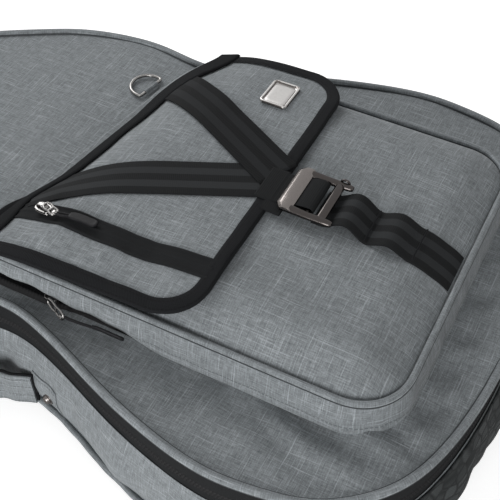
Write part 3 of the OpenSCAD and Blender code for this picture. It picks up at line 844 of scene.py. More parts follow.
# ---- Shell ----
def wall_shape(s, z):
    """Offset of the side wall's skin at s along the edge and height z."""
    t = np.clip((z - WALL_FOOT) / (TAPE_Z - WALL_FOOT), 0, 1)
    body = np.sin(math.pi * t)
    s = np.asarray(s, float) % EDGE_LENGTH
    soft = 0.0013 * folds(s, 0.35 * z, 0.036, 3) + 0.0022 * folds(s, 0.5 * z, 0.11, 4)
    soft = soft * smooth(np.minimum(s, EDGE_LENGTH - s) / 0.06)
    foot = 0.0022 * smooth((WALL_FOOT - z) / 0.006)
    return wall_out(z) + body * soft - 0.0008 * (1 - body) + foot


def side_wall():
    start = BACK_Z + 0.0026

    def skin(u, v):
        s, z = u * EDGE_LENGTH, start + v * (TAPE_Z - 0.0002 - start)
        x, y = around(s, wall_shape(s, z))
        return x, y, z, s, z - BACK_Z - 0.0145

    outer = lay_cloth("side_wall_skin", AROUND_COLS, 26, skin, closed=True)
    finish_piece(outer, "shell", GREY_WALL, "grey_cloth", "side_wall")

    def inside(u, v):
        s, z = u * EDGE_LENGTH, FLOOR_Z + v * (ZIP_Z - 0.0006 - FLOOR_Z)
        x, y = around(s, -WALL_THICK + 0.0006 * folds(s, z, 0.09, 8))
        return x, y, z, s, z

    inner = lay_cloth("side_wall_lining", AROUND_COLS // 2, 14, inside, closed=True, inwards=True)
    finish_piece(inner, "shell", LINING, "lining_cloth")

    def lip(u, v):
        s = u * EDGE_LENGTH
        x, y = around(s, -WALL_THICK + v * (WALL_THICK - 0.0042))
        crown = 0.0004 * np.sin(math.pi * v)
        return x, y, ZIP_Z - 0.0008 + crown, s, v * WALL_THICK

    top = lay_cloth("side_wall_lip", AROUND_COLS // 2, 4, lip, closed=True)
    finish_piece(top, "shell", RIBBON, "webbing")


def panel_rows(v, shrink):
    """Rows of a panel from tail to head, closer together near the ends."""
    y0, y1 = EDGE[:, 1].min() + shrink, EDGE[:, 1].max() - shrink
    t = (1 - np.cos(math.pi * v)) / 2
    t = 0.55 * t + 0.45 * v
    return y0 + t * (y1 - y0)


def panel_place(u, v, offset, height):
    """A panel's places: u across and v along, out to an offset from the edge."""
    y = panel_rows(v, -offset)
    side = np.sign(u - 0.5)
    wide = np.abs(2 * u - 1)
    reach = panel_half(y, offset)
    x = side * wide * reach
    return x, y, height(x, y, reach - np.abs(x)), x, y


def panel_half(y, offset):
    """Half the width at y of the outline moved out by offset."""
    half = EDGE_COUNT // 2
    line = EDGE[:half + 1] + EDGE_OUT[:half + 1] * offset
    line[0, 0] = line[-1, 0] = 0.0
    order = np.argsort(line[:, 1])
    return np.maximum(np.interp(y, line[order, 1], line[order, 0]), 0.0)


def back_panel():
    def sheet(u, v):
        def height(x, y, inside):
            puff = 0.0012 * folds(x, y, 0.16, 11)
            foot = BACK_Z + 0.003 * (1 - smooth(inside / 0.02)) + 0.0012
            return foot + puff * smooth(inside / 0.04)
        return panel_place(u, v, PANEL_EDGE, height)

    piece = lay_cloth("back_panel_cloth", 90, 220, sheet)
    finish_piece(piece, "shell", BLACK, "grey_cloth", "back_panel")


def quilt_rise(x, y, inside):
    """How far quilted lining puffs out, inside its edge."""
    quilt = np.abs(np.sin(math.pi * x / QUILT_SIZE) * np.sin(math.pi * y / QUILT_SIZE)) ** 0.5
    return 0.0016 * quilt * smooth(inside / 0.02)


def back_lining():
    def sheet(u, v):
        def height(x, y, inside):
            return FLOOR_Z + 0.0002 + quilt_rise(x, y, inside)
        return panel_place(u, v, -WALL_THICK - 0.0005, height)

    piece = lay_cloth("back_lining_quilt", 96, 260, sheet)
    finish_piece(piece, "shell", QUILT, "lining_cloth", "back_lining")


def edge_path(s0, s1, out, z, spacing=0.005, wave=0.0, seed=0):
    s = np.linspace(s0, s1, max(2, int((s1 - s0) / spacing)))
    x, y = around(s, out + wave * folds(s, 0 * s, 0.04, seed))
    return np.stack([x, y, np.full_like(x, z)], 1)


def edge_tube(name, out, z, radius, count=14):
    path = edge_path(0, EDGE_LENGTH, out, z, 0.006)[:-1]
    return sweep(name, path, round_section(radius, count), closed=True)


def back_piping():
    r = 0.0026
    path = edge_path(0, EDGE_LENGTH, PANEL_EDGE + 0.0006 + r, BACK_Z + r + 0.0002, 0.006, 0.0007, 5)
    piece = sweep("back_piping_tube", path[:-1], round_section(r, 14), closed=True)
    finish_piece(piece, "shell", GREY, "grey_cloth", "back_piping")


def zip_span():
    """The zip's distances along the edge, all round but for the fabric hinge."""
    return edge_at(HINGE_Y1, 1), EDGE_LENGTH + edge_at(HINGE_Y0, 1)


def tape(name, z0, z1, out0, out1, s0, s1, seed):
    """A strip of zip tape standing on the edge between two heights."""
    cols = int((s1 - s0) / 0.006)

    def strip(u, v):
        s = s0 + u * (s1 - s0)
        wave = 0.0004 * folds(s, 0 * s, 0.05, seed) * np.sin(math.pi * v)
        x, y = around(s, out0 + (out1 - out0) * v + wave)
        return x, y, z0 + v * (z1 - z0), s, v * (z1 - z0)

    return lay_cloth(name, cols, 5, strip, thick=TAPE_THICK)


def lower_zip_tape():
    s0, s1 = zip_span()
    piece = tape("lower_zip_tape_strip", TAPE_Z - 0.0015, ZIP_Z - 0.0014, 0.0016, 0.0009,
                 s0, s1, 21)
    finish_piece(piece, "shell", ZIP_TAPE, "black_cloth", "lower_zip_tape")


def coil(name, z0, z1, s0, s1, phase):
    """A row of coil teeth: a ridged strip, the upper row half a tooth on."""
    cols = int((s1 - s0) / (TOOTH_PITCH / 4))
    profile_out = [0.0008, 0.0024, 0.0027, 0.0022, 0.0008]

    def strip(u, v):
        s = s0 + u * (s1 - s0)
        tooth = 0.5 + 0.5 * np.cos(math.tau * (s / TOOTH_PITCH + phase))
        j = np.rint(v * 4).astype(int)
        out = np.array(profile_out)[j]
        out = np.where((j > 0) & (j < 4), out - 0.0010 * (1 - tooth), out)
        x, y = around(s, out)
        return x, y, z0 + v * (z1 - z0), s, v * (z1 - z0)

    return lay_cloth(name, cols, 4, strip)


def zip_coils():
    s0, s1 = zip_span()
    lower = coil("lower_zip_coil_teeth", ZIP_Z - 0.0030, ZIP_Z - 0.0002, s0, s1, 0.0)
    finish_piece(lower, "shell", NYLON, "zip_coil", "lower_zip_coil")
    upper = coil("upper_zip_coil_teeth", ZIP_Z - 0.0001, ZIP_Z + 0.0027, s0, s1, 0.5)
    finish_piece(upper, "lid", NYLON, "zip_coil", "upper_zip_coil")


def fabric_hinge():
    s0, s1 = edge_at(HINGE_Y0, 1), edge_at(HINGE_Y1, 1)

    def strip(u, v):
        s = s0 + u * (s1 - s0)
        z = TAPE_Z - 0.001 + v * (ZIP_Z + 0.006 - TAPE_Z)
        x, y = around(s, 0.0012 + 0.0012 * np.sin(math.pi * v) + 0.0004 * folds(s, z, 0.05, 31))
        return x, y, z, s, z

    piece = lay_cloth("fabric_hinge_cloth", int((s1 - s0) / 0.006), 14, strip, thick=TAPE_THICK)
    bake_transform(piece)
    finish_piece(piece, None, GREY, "grey_cloth", "fabric_hinge")


def boot(name, s0, s1, node):
    """An embossed skin over the side wall, with a hemmed edge."""
    z0, z1 = BACK_Z + 0.0175, TAPE_Z - 0.0006

    def skin(u, v):
        s, z = s0 + u * (s1 - s0), z0 + v * (z1 - z0)
        hem = smooth(1 - np.minimum(v, 1 - v) / 0.05) + smooth(1 - np.minimum(u, 1 - u) / 0.02)
        out = wall_shape(s, z) + 0.0022 + 0.0006 * np.clip(hem, 0, 1)
        x, y = around(s, out)
        return x, y, z, s, z

    piece = lay_cloth(name, int((s1 - s0) / 0.004), 26, skin, thick=0.0018)
    finish_piece(piece, "shell", BOOT, "boot_rubber", node)


def boots():
    s = edge_at(high("bottom_boot").y, 1)
    boot("bottom_boot_skin", -s, s, "bottom_boot")
    s = edge_at(low("head_boot").y, 1)
    boot("head_boot_skin", s, EDGE_LENGTH - s, "head_boot")


def skid_strips():
    """Two moulded runners on the tail, each with cross grooves."""
    lo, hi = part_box("skid_strips")
    bars = []
    for side in (-1, 1):
        s_at = side * (hi.x - 0.009) % EDGE_LENGTH
        rows = np.linspace(lo.z + 0.002, hi.z - 0.002, 27)
        path = []
        for z in rows:
            px, py = around(s_at, wall_shape(s_at, np.array(z)) + 0.0026)
            path.append((float(px), float(py), float(z)))
        path = even_path(path, 0.0022, 2)
        ends = np.minimum(np.arange(len(path)), np.arange(len(path))[::-1])
        bar = sweep(f"skid_{'left' if side < 0 else 'right'}", path,
                    band_section(0.018, 0.0075, 0.0006), side=(1, 0, 0))
        co = coords(bar)
        k = np.argmin(np.abs(co[:, 2][:, None] - path[:, 2][None, :]), axis=1)
        base = path[k]
        share = np.clip(ends[k] / 2.0, 0.3, 1.0)
        groove = np.where((k % 4 == 0) & (ends[k] > 2), 0.78, 1.0)
        co[:, 1] = base[:, 1] + (co[:, 1] - base[:, 1]) * share * groove
        reshape(bar, co)
        bars.append(bar)
    piece = join("skid_runners", *bars)
    finish_piece(piece, "shell", soft_rubber("skid rubber", (0.010, 0.011, 0.012), 0.55),
                 "boot_rubber", "skid_strips")


# ---- Side handle ----
def handle_span():
    lo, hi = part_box("side_handle")
    return edge_at(hi.y, -1), edge_at(lo.y, -1)


def handle_patches():
    lo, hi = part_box("handle_patches")
    z0, z1 = lo.z, hi.z
    s_head, s_foot = handle_span()
    s_foot += HANDLE_REACH
    reach = 0.030
    parts = []
    for name, s0, s1 in (("patch_foot", s_foot - 0.004, s_foot + reach),
                         ("patch_head", s_head - reach, s_head + 0.004)):
        def skin(u, v, s0=s0, s1=s1):
            s, z = s0 + u * (s1 - s0), z0 + v * (z1 - z0)
            rim = np.minimum(np.minimum(u, 1 - u) / 0.1, np.minimum(v, 1 - v) / 0.1)
            x, y = around(s, wall_shape(s, z) + 0.0009 + 0.0006 * smooth(rim))
            return x, y, z, s, np.minimum(v, 1 - v) * (z1 - z0)
        parts.append(lay_cloth(name, 24, 24, skin, thick=0.0008))
    piece = join("handle_patch_cloth", *parts)
    finish_piece(piece, "shell", grey_cloth("grey melange patch", rows=(0.003,)), "grey_cloth",
                 "handle_patches")


def dome(name, radius, rise, at, turn_z):
    """A pressed dome with a flat ring, standing out along the wall's normal."""
    rings = [(1.0, 0.0), (1.0, 0.10), (0.97, 0.14), (0.72, 0.14), (0.70, 0.10), (0.68, 0.5),
             (0.5, 0.85), (0.25, 1.0), (0.0, 1.0)]
    out = np.array([math.cos(turn_z), math.sin(turn_z), 0])
    side = np.array([-math.sin(turn_z), math.cos(turn_z), 0])

    def place(u, v):
        j = nth(rings, v)
        r = np.array(rings)[j, 0] * radius
        h = np.array(rings)[j, 1] * rise
        a = u * math.tau
        p = (np.array(at) + np.outer(h, out) + (r * np.cos(a))[:, None] * side
             + (r * np.sin(a))[:, None] * np.array([0, 0, 1.0]))
        return *p.T, a * radius, r

    piece = lay_cloth(name, 28, len(rings) - 1, place, closed=True)
    face_out_all(piece)
    return piece


def handle_rivets():
    z = centre_of("handle_rivets")[2]
    s_head, s_foot = handle_span()
    parts = []
    for name, s in (("rivet_foot", s_foot + HANDLE_REACH + RIVET_IN),
                    ("rivet_head", s_head - RIVET_IN)):
        x, y = around(s, wall_shape(np.array(s), np.array(z)) + 0.0016)
        x1, y1 = around(s, wall_shape(np.array(s), np.array(z)) + 0.0116)
        turn = math.atan2(float(y1 - y), float(x1 - x))
        parts.append(dome(name, 0.0062, 0.0042, (float(x), float(y), z), turn))
    piece = join("handle_rivet_domes", *parts)
    finish_piece(piece, "shell", GUNMETAL, "bright_metal", "handle_rivets")


def side_handle():
    lo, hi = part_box("side_handle")
    s_head, s_foot = handle_span()
    bow = 0.024
    z_mid, tall = (lo.z + hi.z) / 2, hi.z - lo.z
    s = np.linspace(s_head, s_foot + HANDLE_REACH, 60)
    t = np.linspace(0, 1, 60)

    def path_at(out, z):
        lift = bow * np.sin(math.pi * t) ** 0.85
        x, y = around(s, wall_shape(s, 0 * s + z_mid) + 0.0022 + out + lift)
        return np.stack([x, y, np.full_like(x, z)], 1)

    up = np.tile([0, 0, 1.0], (60, 1))
    outer = sweep("handle_outer_cloth", path_at(0.0030, z_mid), band_section(tall, 0.0042, 0.0008),
                  side=up)
    inner = sweep("handle_inner_band", path_at(0.0, z_mid + 0.001), band_section(tall, 0.0028),
                  side=up)
    finish_piece(outer, "side_handle", grey_cloth("grey melange handle", rows=(0.006, -0.006, 0.016,
                 -0.016)), "grey_cloth", "side_handle")
    finish_piece(inner, "side_handle", RIBBON, "webbing")


# ---- Inside and back ----
def pillow(name, centre, size, puff, body, material, slot, node):
    """A foam block in cloth, with round edges and a crown on each face."""
    piece = block(name, centre, size, 0.004)
    modify(piece, "SUBSURF", levels=1, render_levels=1)
    modify(piece, "REMESH", mode="VOXEL", voxel_size=max(min(size) / 9, 0.0035))
    co = coords(piece)
    rel = (co - np.array(centre)) / (np.array(size) / 2)
    for axis in range(3):
        others = [i for i in range(3) if i != axis]
        crown = np.prod([np.clip(1 - rel[:, i] ** 2, 0, 1) for i in others], axis=0)
        face = smooth(np.abs(rel[:, axis]) * 1.4 - 0.4)
        co[:, axis] += np.sign(rel[:, axis]) * face * crown * puff[axis]
    set_coords(piece, co)
    uv = np.stack([co[:, 0] + co[:, 2], co[:, 1] + co[:, 2]], 1)
    set_uv(piece, uv)
    shade(piece)
    finish_piece(piece, body, material, slot, node)


def inner_foam():
    for node in ("tail_bumper", "head_pad"):
        lo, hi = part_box(node)
        size = (hi - lo) - Vector((0.002, 0.002, 0.002))
        pillow(node + "_cover", (lo + hi) / 2, size, (0.001, 0.001, 0.001), "shell", LINING,
               "foam", node)
    lo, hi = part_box("neck_cradle")
    groove_r, groove_z = 0.0325, hi.z + 0.004
    half = hi.x - 0.001
    arc = [(groove_r * math.cos(a), groove_z + groove_r * math.sin(a))
           for a in np.linspace(math.radians(-8), math.radians(-172), 18)]
    section = [(-half, lo.z + 0.001), (half, lo.z + 0.001), (half, hi.z - 0.003),
               (half - 0.003, hi.z)] + arc + [(-half + 0.003, hi.z), (-half, hi.z - 0.003)]
    path = np.stack([np.zeros(12), np.linspace(lo.y, hi.y, 12), np.zeros(12)], 1)
    cradle = sweep("neck_cradle_cover", path, section, side=(1, 0, 0))
    co = coords(cradle)
    if co[:, 2].min() < 0:
        co[:, 2] = -co[:, 2]
        reshape(cradle, co)
    modify(cradle, "BEVEL", width=0.002, segments=2, limit_method="ANGLE")
    shade(cradle, 35)
    finish_piece(cradle, "shell", LINING, "foam", "neck_cradle")


def cradle_strap():
    lo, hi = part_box("cradle_strap")
    y = centre_of("cradle_strap")[1]
    path = even_path([(lo.x, y, lo.z + 0.0001), (0, y, lo.z - 0.0001), (hi.x, y, lo.z + 0.0001)],
                     0.004, 3)
    piece = sweep("cradle_strap_web", path, band_section(hi.y - lo.y, 0.0017), side=(0, -1, 0))
    co = coords(piece)
    co[:, 2] += (lo.z + 0.0002) - co[:, 2].min()
    reshape(piece, co)
    finish_piece(piece, "cradle_strap", WEBBING, "webbing", "cradle_strap")


def flat_pad(name, outline_points, z0, z1, body, material, slot, nodes, channels=()):
    """A padded piece cut to an outline in plan, crowned, with sewn channels across it."""
    plan = np.asarray(outline_points, float)
    run = run_of(np.vstack([np.c_[plan, np.zeros(len(plan))],
                            [*plan[0], 0]]))
    count = 120
    even = np.linspace(0, run[-1], count, endpoint=False)
    ring = np.stack([np.interp(even, run, np.r_[plan[:, i], plan[0, i]]) for i in (0, 1)], 1)
    ring = ease_ring(ring, 3)
    spine_y = np.clip(ring[:, 1], ring[:, 1].min() + 0.03, ring[:, 1].max() - 0.03)
    spine_x = np.interp(spine_y, *axis_line(ring))
    core = np.stack([spine_x, spine_y], 1)
    mid, half = (z0 + z1) / 2, (z1 - z0) / 2
    steps = [(0.0, -0.0), (0.08, -0.62), (0.22, -0.93), (0.5, -1.0), (0.8, -1.0), (1.0, -1.0)]
    profile = [(1.0, 1.0), (0.8, 1.0), (0.5, 1.0), (0.22, 0.93), (0.08, 0.62)] + steps
    ring2 = np.vstack([ring, ring[:1]])
    core2 = np.vstack([core, core[:1]])

    def place(u, v):
        i = np.rint(u * count).astype(int)
        j = nth(profile, v)
        pr = np.array(profile)[j]
        p = ring2[i] + (core2[i] - ring2[i]) * pr[:, :1]
        return p[:, 0], p[:, 1], mid + 0.72 * half * pr[:, 1], p[:, 0], p[:, 1]

    piece = lay_solid(name, count, len(profile) - 1, place)
    stuff(piece)
    co = coords(piece)
    dip = np.zeros(len(co))
    for y in channels:
        dip = np.maximum(dip, np.exp(-((co[:, 1] - y) / 0.0055) ** 2))
    co[:, 2] = np.clip(mid + (co[:, 2] - mid) * (1 - 0.5 * dip), z0, z1)
    set_coords(piece, co)
    set_uv(piece, co[:, :2])
    shade(piece)
    finish_piece(piece, body, material, slot, *nodes)
    return piece


def stuff(piece):
    """Swells a pad's cloth by a short simulation, no point moving further than PAD_SWELL."""
    modify(piece, "REMESH", mode="VOXEL", voxel_size=PAD_VOXEL)
    pick(piece)
    bpy.ops.object.modifier_add(type="CLOTH")
    cloth = piece.modifiers[-1]
    cloth.settings.quality = 4
    cloth.settings.use_pressure = True
    cloth.settings.uniform_pressure_force = PAD_PRESSURE
    cloth.settings.effector_weights.gravity = 0.0
    cloth.point_cache.frame_start, cloth.point_cache.frame_end = 1, PAD_FRAMES
    before = coords(piece)
    for frame_number in range(1, PAD_FRAMES + 1):
        bpy.context.scene.frame_set(frame_number)
    solved = piece.evaluated_get(bpy.context.evaluated_depsgraph_get())
    after = np.empty(len(before) * 3)
    solved.data.vertices.foreach_get("co", after)
    bpy.ops.object.modifier_remove(modifier=cloth.name)
    bpy.context.scene.frame_set(1)
    move = after.reshape(-1, 3) - before
    far = np.maximum(np.linalg.norm(move, axis=1), 1e-9)
    set_coords(piece, before + move * (np.minimum(far, PAD_SWELL) / far)[:, None])
    modify(piece, "SUBSURF", levels=1, render_levels=1)


def mirrored(piece, name, body, material, slot, *nodes):
    """A padded piece's twin on the bag's other side."""
    pick(piece)
    bpy.ops.object.duplicate()
    twin = bpy.context.object
    twin.name = twin.data.name = name
    for key in [k for k in twin.keys() if k.startswith("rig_")]:
        del twin[key]
    co = coords(twin)
    co[:, 0] *= -1
    set_coords(twin, co)
    set_uv(twin, co[:, :2])
    face_out_all(twin)
    finish_piece(twin, body, material, slot, *nodes)


def axis_line(ring):
    """The middle line of a plan, as y and x for interpolation."""
    ys = np.linspace(ring[:, 1].min() + 0.002, ring[:, 1].max() - 0.002, 24)
    xs = []
    for y in ys:
        near = ring[np.abs(ring[:, 1] - y) < 0.012]
        xs.append((near[:, 0].min() + near[:, 0].max()) / 2 if len(near) else ring[:, 0].mean())
    return ys, np.array(xs)


def node_outlines(node):
    """The plan outline of each solid of a flat CAD node, from its lowest points."""
    verts = frame["nodes"][node].data.vertices
    z = min(v.co.z for v in verts) + 1e-5
    pts = sorted({(round(v.co.x, 5), round(v.co.y, 5)) for v in verts if v.co.z <= z})
    return np.array(pts)


def convex(points):
    """The hull of points in plan, in order."""
    pts = sorted(map(tuple, points))

    def half_hull(seq):
        out = []
        for p in seq:
            while len(out) > 1 and ((out[-1][0] - out[-2][0]) * (p[1] - out[-2][1])
                                    - (out[-1][1] - out[-2][1]) * (p[0] - out[-2][0])) <= 0:
                out.pop()
            out.append(p)
        return out[:-1]

    return np.array(half_hull(pts) + half_hull(pts[::-1]))


def back_pads():
    pts = node_outlines("back_pads")
    z0, z1 = low("back_pads").z, high("back_pads").z + 0.0008
    plan = convex(pts[pts[:, 0] < 0])
    y0 = plan[:, 1].min()
    pad = flat_pad("back_pad_left", plan, z0, z1, "shell", MESH, "lining_cloth", ["back_pads"],
                   channels=(y0 + 0.06, y0 + 0.12))
    mirrored(pad, "back_pad_right", "shell", MESH, "lining_cloth")


def strap_yoke():
    lo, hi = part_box("strap_yoke")
    flat_pad("strap_yoke_pad", convex(node_outlines("strap_yoke")), lo.z + 0.0005, hi.z + 0.0008,
             "shell", BLACK, "black_cloth", ["strap_yoke"])


def shoulder_pads():
    node = "shoulder_pad_left"
    lo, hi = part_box(node)
    plan = convex(node_outlines(node))
    y0 = plan[:, 1].min()
    pad = flat_pad(node + "_foam", plan, lo.z, hi.z, "shoulder_left", BLACK, "black_cloth",
                   [node], channels=(y0 + 0.06, y0 + 0.115, y0 + 0.17))
    mirrored(pad, "shoulder_pad_right_foam", "shoulder_right", BLACK, "black_cloth",
             "shoulder_pad_right")


def strap_webbings():
    for side, word in ((-1, "left"), (1, "right")):
        node = "strap_webbing_" + word
        lo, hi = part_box(node)
        z = lo.z + 0.0004
        w = 0.025
        top_x, foot_x = hi.x - w / 2, lo.x + w / 2
        if side > 0:
            top_x, foot_x = lo.x + w / 2, hi.x - w / 2
        path = even_path([(top_x, hi.y, z), (top_x, hi.y - 0.012, z), (foot_x, hi.y - 0.062, z),
                          (foot_x, lo.y, z)], 0.004, 6)
        web = sweep(node + "_strip", path, band_section(w - 0.002, 0.0017), up=(0, 0, 1))
        finish_piece(web, "shoulder_" + word, PLAIN_WEBBING, "webbing", node)


def strap_anchors():
    """The webbing tabs that the shoulder straps' lower ends meet, each with a rung."""
    lo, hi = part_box("strap_anchors")
    tabs = []
    for side in (-1, 1):
        x = side * (hi.x - 0.017)
        tabs.append(block(f"anchor_{side}", (x, *centre_of("strap_anchors")[1:]),
                          (0.034, hi.y - lo.y, hi.z - lo.z - 0.0004), 0.0018))
        rung = sweep(f"rung_{side}", [(x - 0.015, hi.y - 0.004, lo.z + 0.0016),
                                      (x + 0.015, hi.y - 0.004, lo.z + 0.0016)],
                     round_section(0.0014, 10), up=(0, 0, 1))
        tabs.append(rung)
    anchors = join("strap_anchor_tabs", *tabs)
    co = coords(anchors)
    set_uv(anchors, co[:, :2])
    finish_piece(anchors, "shell", PLAIN_WEBBING, "webbing", "strap_anchors")


def hanging_loop():
    lo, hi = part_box("hanging_loop")
    x_r, z_top, z_low = (hi.x - lo.x) / 2 - 0.0018, hi.z, lo.z
    y = centre_of("hanging_loop")[1]
    arc_z = z_top - 0.006
    pts = [(x_r, y, z_top - 0.0005), (x_r, y, arc_z)]
    pts += [(x_r * math.cos(a), y, arc_z - x_r * math.sin(a))
            for a in np.linspace(0.1, math.pi - 0.1, 22)]
    pts += [(-x_r, y, arc_z), (-x_r, y, z_top - 0.0005)]
    path = even_path(pts, 0.003, 2)
    piece = sweep("hanging_loop_web", path, band_section(hi.y - lo.y, 0.0028), side=(0, 1, 0))
    co = coords(piece)
    co[:, 2] += z_low + 0.0005 - co[:, 2].min()
    reshape(piece, co)
    finish_piece(piece, "hanging_loop", PLAIN_WEBBING, "webbing", "hanging_loop")


# ---- Lid ----
def front_height(x, y, inside):
    """Height of the lid's cloth, falling to its piping."""
    puff = 0.0006 * folds(x, y, 0.11, 41) + 0.0006 * folds(x, y, 0.23, 42)
    near_seam = np.exp(-(seam_v(x, y) / 0.03) ** 2) * (np.abs(x) < 0.17)
    pull = np.sin((0.93 * x - 0.37 * y + 0.008 * folds(x, y, 0.12, 43)) / 0.0056)
    low_left = np.exp(-((x + 0.155) / 0.060) ** 2 - ((y + 0.470) / 0.060) ** 2)
    waist = np.exp(-((x + 0.176) / 0.024) ** 2 - ((y + 0.350) / 0.085) ** 2)
    sway = np.sin((y + 0.5 * x + 0.007 * folds(x, y, 0.1, 44)) / 0.0075)
    tail = np.exp(-((y + 0.525) / 0.016) ** 2) * (np.abs(x) < 0.16)
    ripple = np.sin((x + 0.4 * y + 0.006 * folds(x, y, 0.08, 45)) / 0.007)
    valley = 0.0022 * low_left * (pull - 0.7) + 0.0020 * waist * (sway - 0.8)
    valley = valley + 0.0008 * tail * (ripple - 0.8)
    z = FRONT_Z - 0.0004 + np.minimum(puff, 0.0008) * (1 - near_seam) - 0.0006 * near_seam
    z = z + valley * smooth(inside / 0.012)
    trough = np.exp(-((x + 0.151) / 0.026) ** 2) * smooth((y + 0.50) / 0.07)
    z = z - 0.0040 * trough * smooth((-0.175 - y) / 0.04)
    return z - 0.0014 * (1 - smooth(inside / 0.06))


def front_panel():
    def sheet(u, v):
        return panel_place(u, v, 0.0004, front_height)

    piece = lay_cloth("front_panel_cloth", 150, 360, sheet)
    finish_piece(piece, "lid", GREY, "grey_cloth", "front_panel")

    def under(u, v):
        s = u * EDGE_LENGTH
        rim = [(-0.0042, BAND_TOP), (-0.0043, ZIP_Z + 0.0004), (-0.0088, ZIP_Z + 0.0001),
               (-WALL_THICK, ZIP_Z + 0.0004), (-WALL_THICK, CEILING_Z)]
        j = nth(rim, v)
        prof = np.array(rim)[j]
        x, y = around(s, prof[:, 0])
        return x, y, prof[:, 1], s, prof[:, 1]

    skirt = lay_cloth("lid_inner_rim", AROUND_COLS // 2, 4, under, closed=True)
    finish_piece(skirt, "lid", LINING, "lining_cloth")

    def ceiling(u, v):
        def height(x, y, inside):
            return CEILING_Z - 0.0002 - quilt_rise(x, y, inside)
        return panel_place(u, v, -WALL_THICK - 0.0002, height)

    roof = lay_cloth("front_lining_quilt", 96, 260, ceiling, inwards=True)
    finish_piece(roof, "lid", QUILT, "lining_cloth", "front_lining")


def front_piping():
    piece = edge_tube("front_piping_tube", 0.0006, PIPING_Z + 0.0009, ROLL_R, 16)
    finish_piece(piece, "lid", GREY, "grey_cloth", "front_piping")
    # Thin dark tubes inside and outside the piping roll: painted shadow lines in the grooves beside
    # it.
    inner = edge_tube("front_piping_inner_shadow_line", -0.0028, PIPING_Z + 0.0008, PIPING_SHADOW_R, 8)
    outer = edge_tube("front_piping_outer_shadow_line", 0.0032, PIPING_Z - 0.0008, PIPING_SHADOW_R, 8)
    finish_piece(join("front_piping_shadow_lines", inner, outer), "lid", PIPING_SHADOW, "black_cloth")


def upper_zip_band():
    z0, z1 = ZIP_Z + 0.0015, BAND_TOP + 0.0006

    def strip(u, v):
        s = u * EDGE_LENGTH
        swell = 0.0006 * np.sin(math.pi * v)
        lip = -0.0016 * smooth((v - 0.86) / 0.14)
        x, y = around(s, 0.0009 + swell + lip)
        return x, y, z0 + v * (z1 - z0), s, v * (z1 - z0)

    piece = lay_cloth("upper_zip_band_cloth", AROUND_COLS // 2, 8, strip, closed=True,
                      thick=TAPE_THICK)
    finish_piece(piece, "lid", ZIP_TAPE, "black_cloth", "upper_zip_band")


# ---- Pocket ----
def pocket_inside(x, y):
    """Distance from the pocket's rim, inwards."""
    dx, dy = POCKET_X - np.abs(x), y - POCKET_Y
    r = POCKET_CORNER
    corner = r - np.hypot(np.maximum(r - dx, 0), np.maximum(r - dy, 0))
    edge = np.where((dx < r) & (dy < r), corner, np.minimum(dx, dy))
    return np.minimum(edge, POCKET_BACK - seam_v(x, y))


def pocket_height(x, y):
    """Height of the stuffed pocket's face."""
    d = np.maximum(pocket_inside(x, y), 0)
    t = np.clip(d / 0.046, 0, 1)
    rise = 1 - (1 - t) ** 2.3
    covered = smooth((y - HEM_Y + 0.01) / 0.03)
    dimple = 0.0011 * folds(x, y, 0.09, 51) + 0.0012 * folds(x, 0.5 * y, 0.2, 52)
    dimple = np.minimum(dimple, 0.0006) - 0.0009
    dimple = dimple * smooth(d / 0.03) - 0.0006 * covered
    slump = -0.0035 * smooth((POCKET_Y + 0.12 - y) / 0.12) * smooth(d / 0.02)
    beside = np.exp(-((np.abs(x) - 0.024) / 0.012) ** 2) * smooth((HEM_Y - y) / 0.02)
    z = RIM_Z - 0.0044 + (DOME_Z - RIM_Z + 0.0044) * rise + dimple + slump - 0.0006 * beside
    return np.minimum(z, under_flap(x, y))


def under_flap(x, y):
    """The highest a thing can be under the flap's drape."""
    wide = np.clip(x, -FLAP_X, FLAP_X)
    free = 0.05 * smooth((HEM_Y + 0.03 - y) / 0.03)
    return flap_height(wide, y) - 0.0022 + free


def lower_edge(x, reach, low_y, corner, inset=0.0):
    """The lower edge at x of an outline with two round corners."""
    r = corner - inset
    over = np.clip(np.abs(x) - (reach - corner), 0, r)
    return low_y + corner - np.sqrt(np.maximum(r * r - over * over, 0))


def horseshoe(offset, reach, low_y, corner, ends, trim):
    """A plan line at an offset: down the left side, round two corners and up the right."""
    r, x = corner + offset, reach + offset
    flat_x, flat_y, base_y = reach - corner, low_y + corner, low_y - offset

    def turn(side, start, end):
        return [(side * (flat_x + r * math.cos(a)), flat_y - r * math.sin(a), 0)
                for a in np.linspace(start, end, 14)]

    quarter = math.pi / 2 - trim
    return [(-x, seam_line_y(-x, ends[0]), 0), (-x, flat_y, 0), *turn(-1, trim, quarter),
            (-flat_x, base_y, 0), (flat_x, base_y, 0), *turn(1, quarter, trim),
            (x, flat_y, 0), (x, seam_line_y(x, ends[1]), 0)]


def seam_line_y(x, v):
    """The y at which x meets the line v past the flap's sewn edge."""
    return SEAM_Y + (v - x * math.sin(SLANT)) / math.cos(SLANT)


def pocket_face():
    inset = 0.0006

    def sheet(u, v):
        w = np.sin((u - 0.5) * math.pi * 0.86) / math.sin(math.pi * 0.43)
        x = w * (POCKET_X - inset)
        y0 = lower_edge(x, POCKET_X, POCKET_Y, POCKET_CORNER, inset)
        y1 = seam_line_y(x, POCKET_BACK)
        y = y0 + (v ** 1.25) * (y1 - y0)
        return x, y, pocket_height(x, y), x, y

    piece = lay_cloth("pocket_face_cloth", 150, 150, sheet)
    finish_piece(piece, "lid", GREY, "grey_cloth", "pocket_face")


def pocket_loop(offset, spacing=0.004, closed=True):
    """The pocket's plan outline at an offset, from its left end by the tail to its right end."""
    pts = horseshoe(offset, POCKET_X, POCKET_Y, POCKET_CORNER, (POCKET_BACK, POCKET_BACK), 0.05)
    if closed:
        pts += [pts[0]]
    return even_path(pts, spacing)


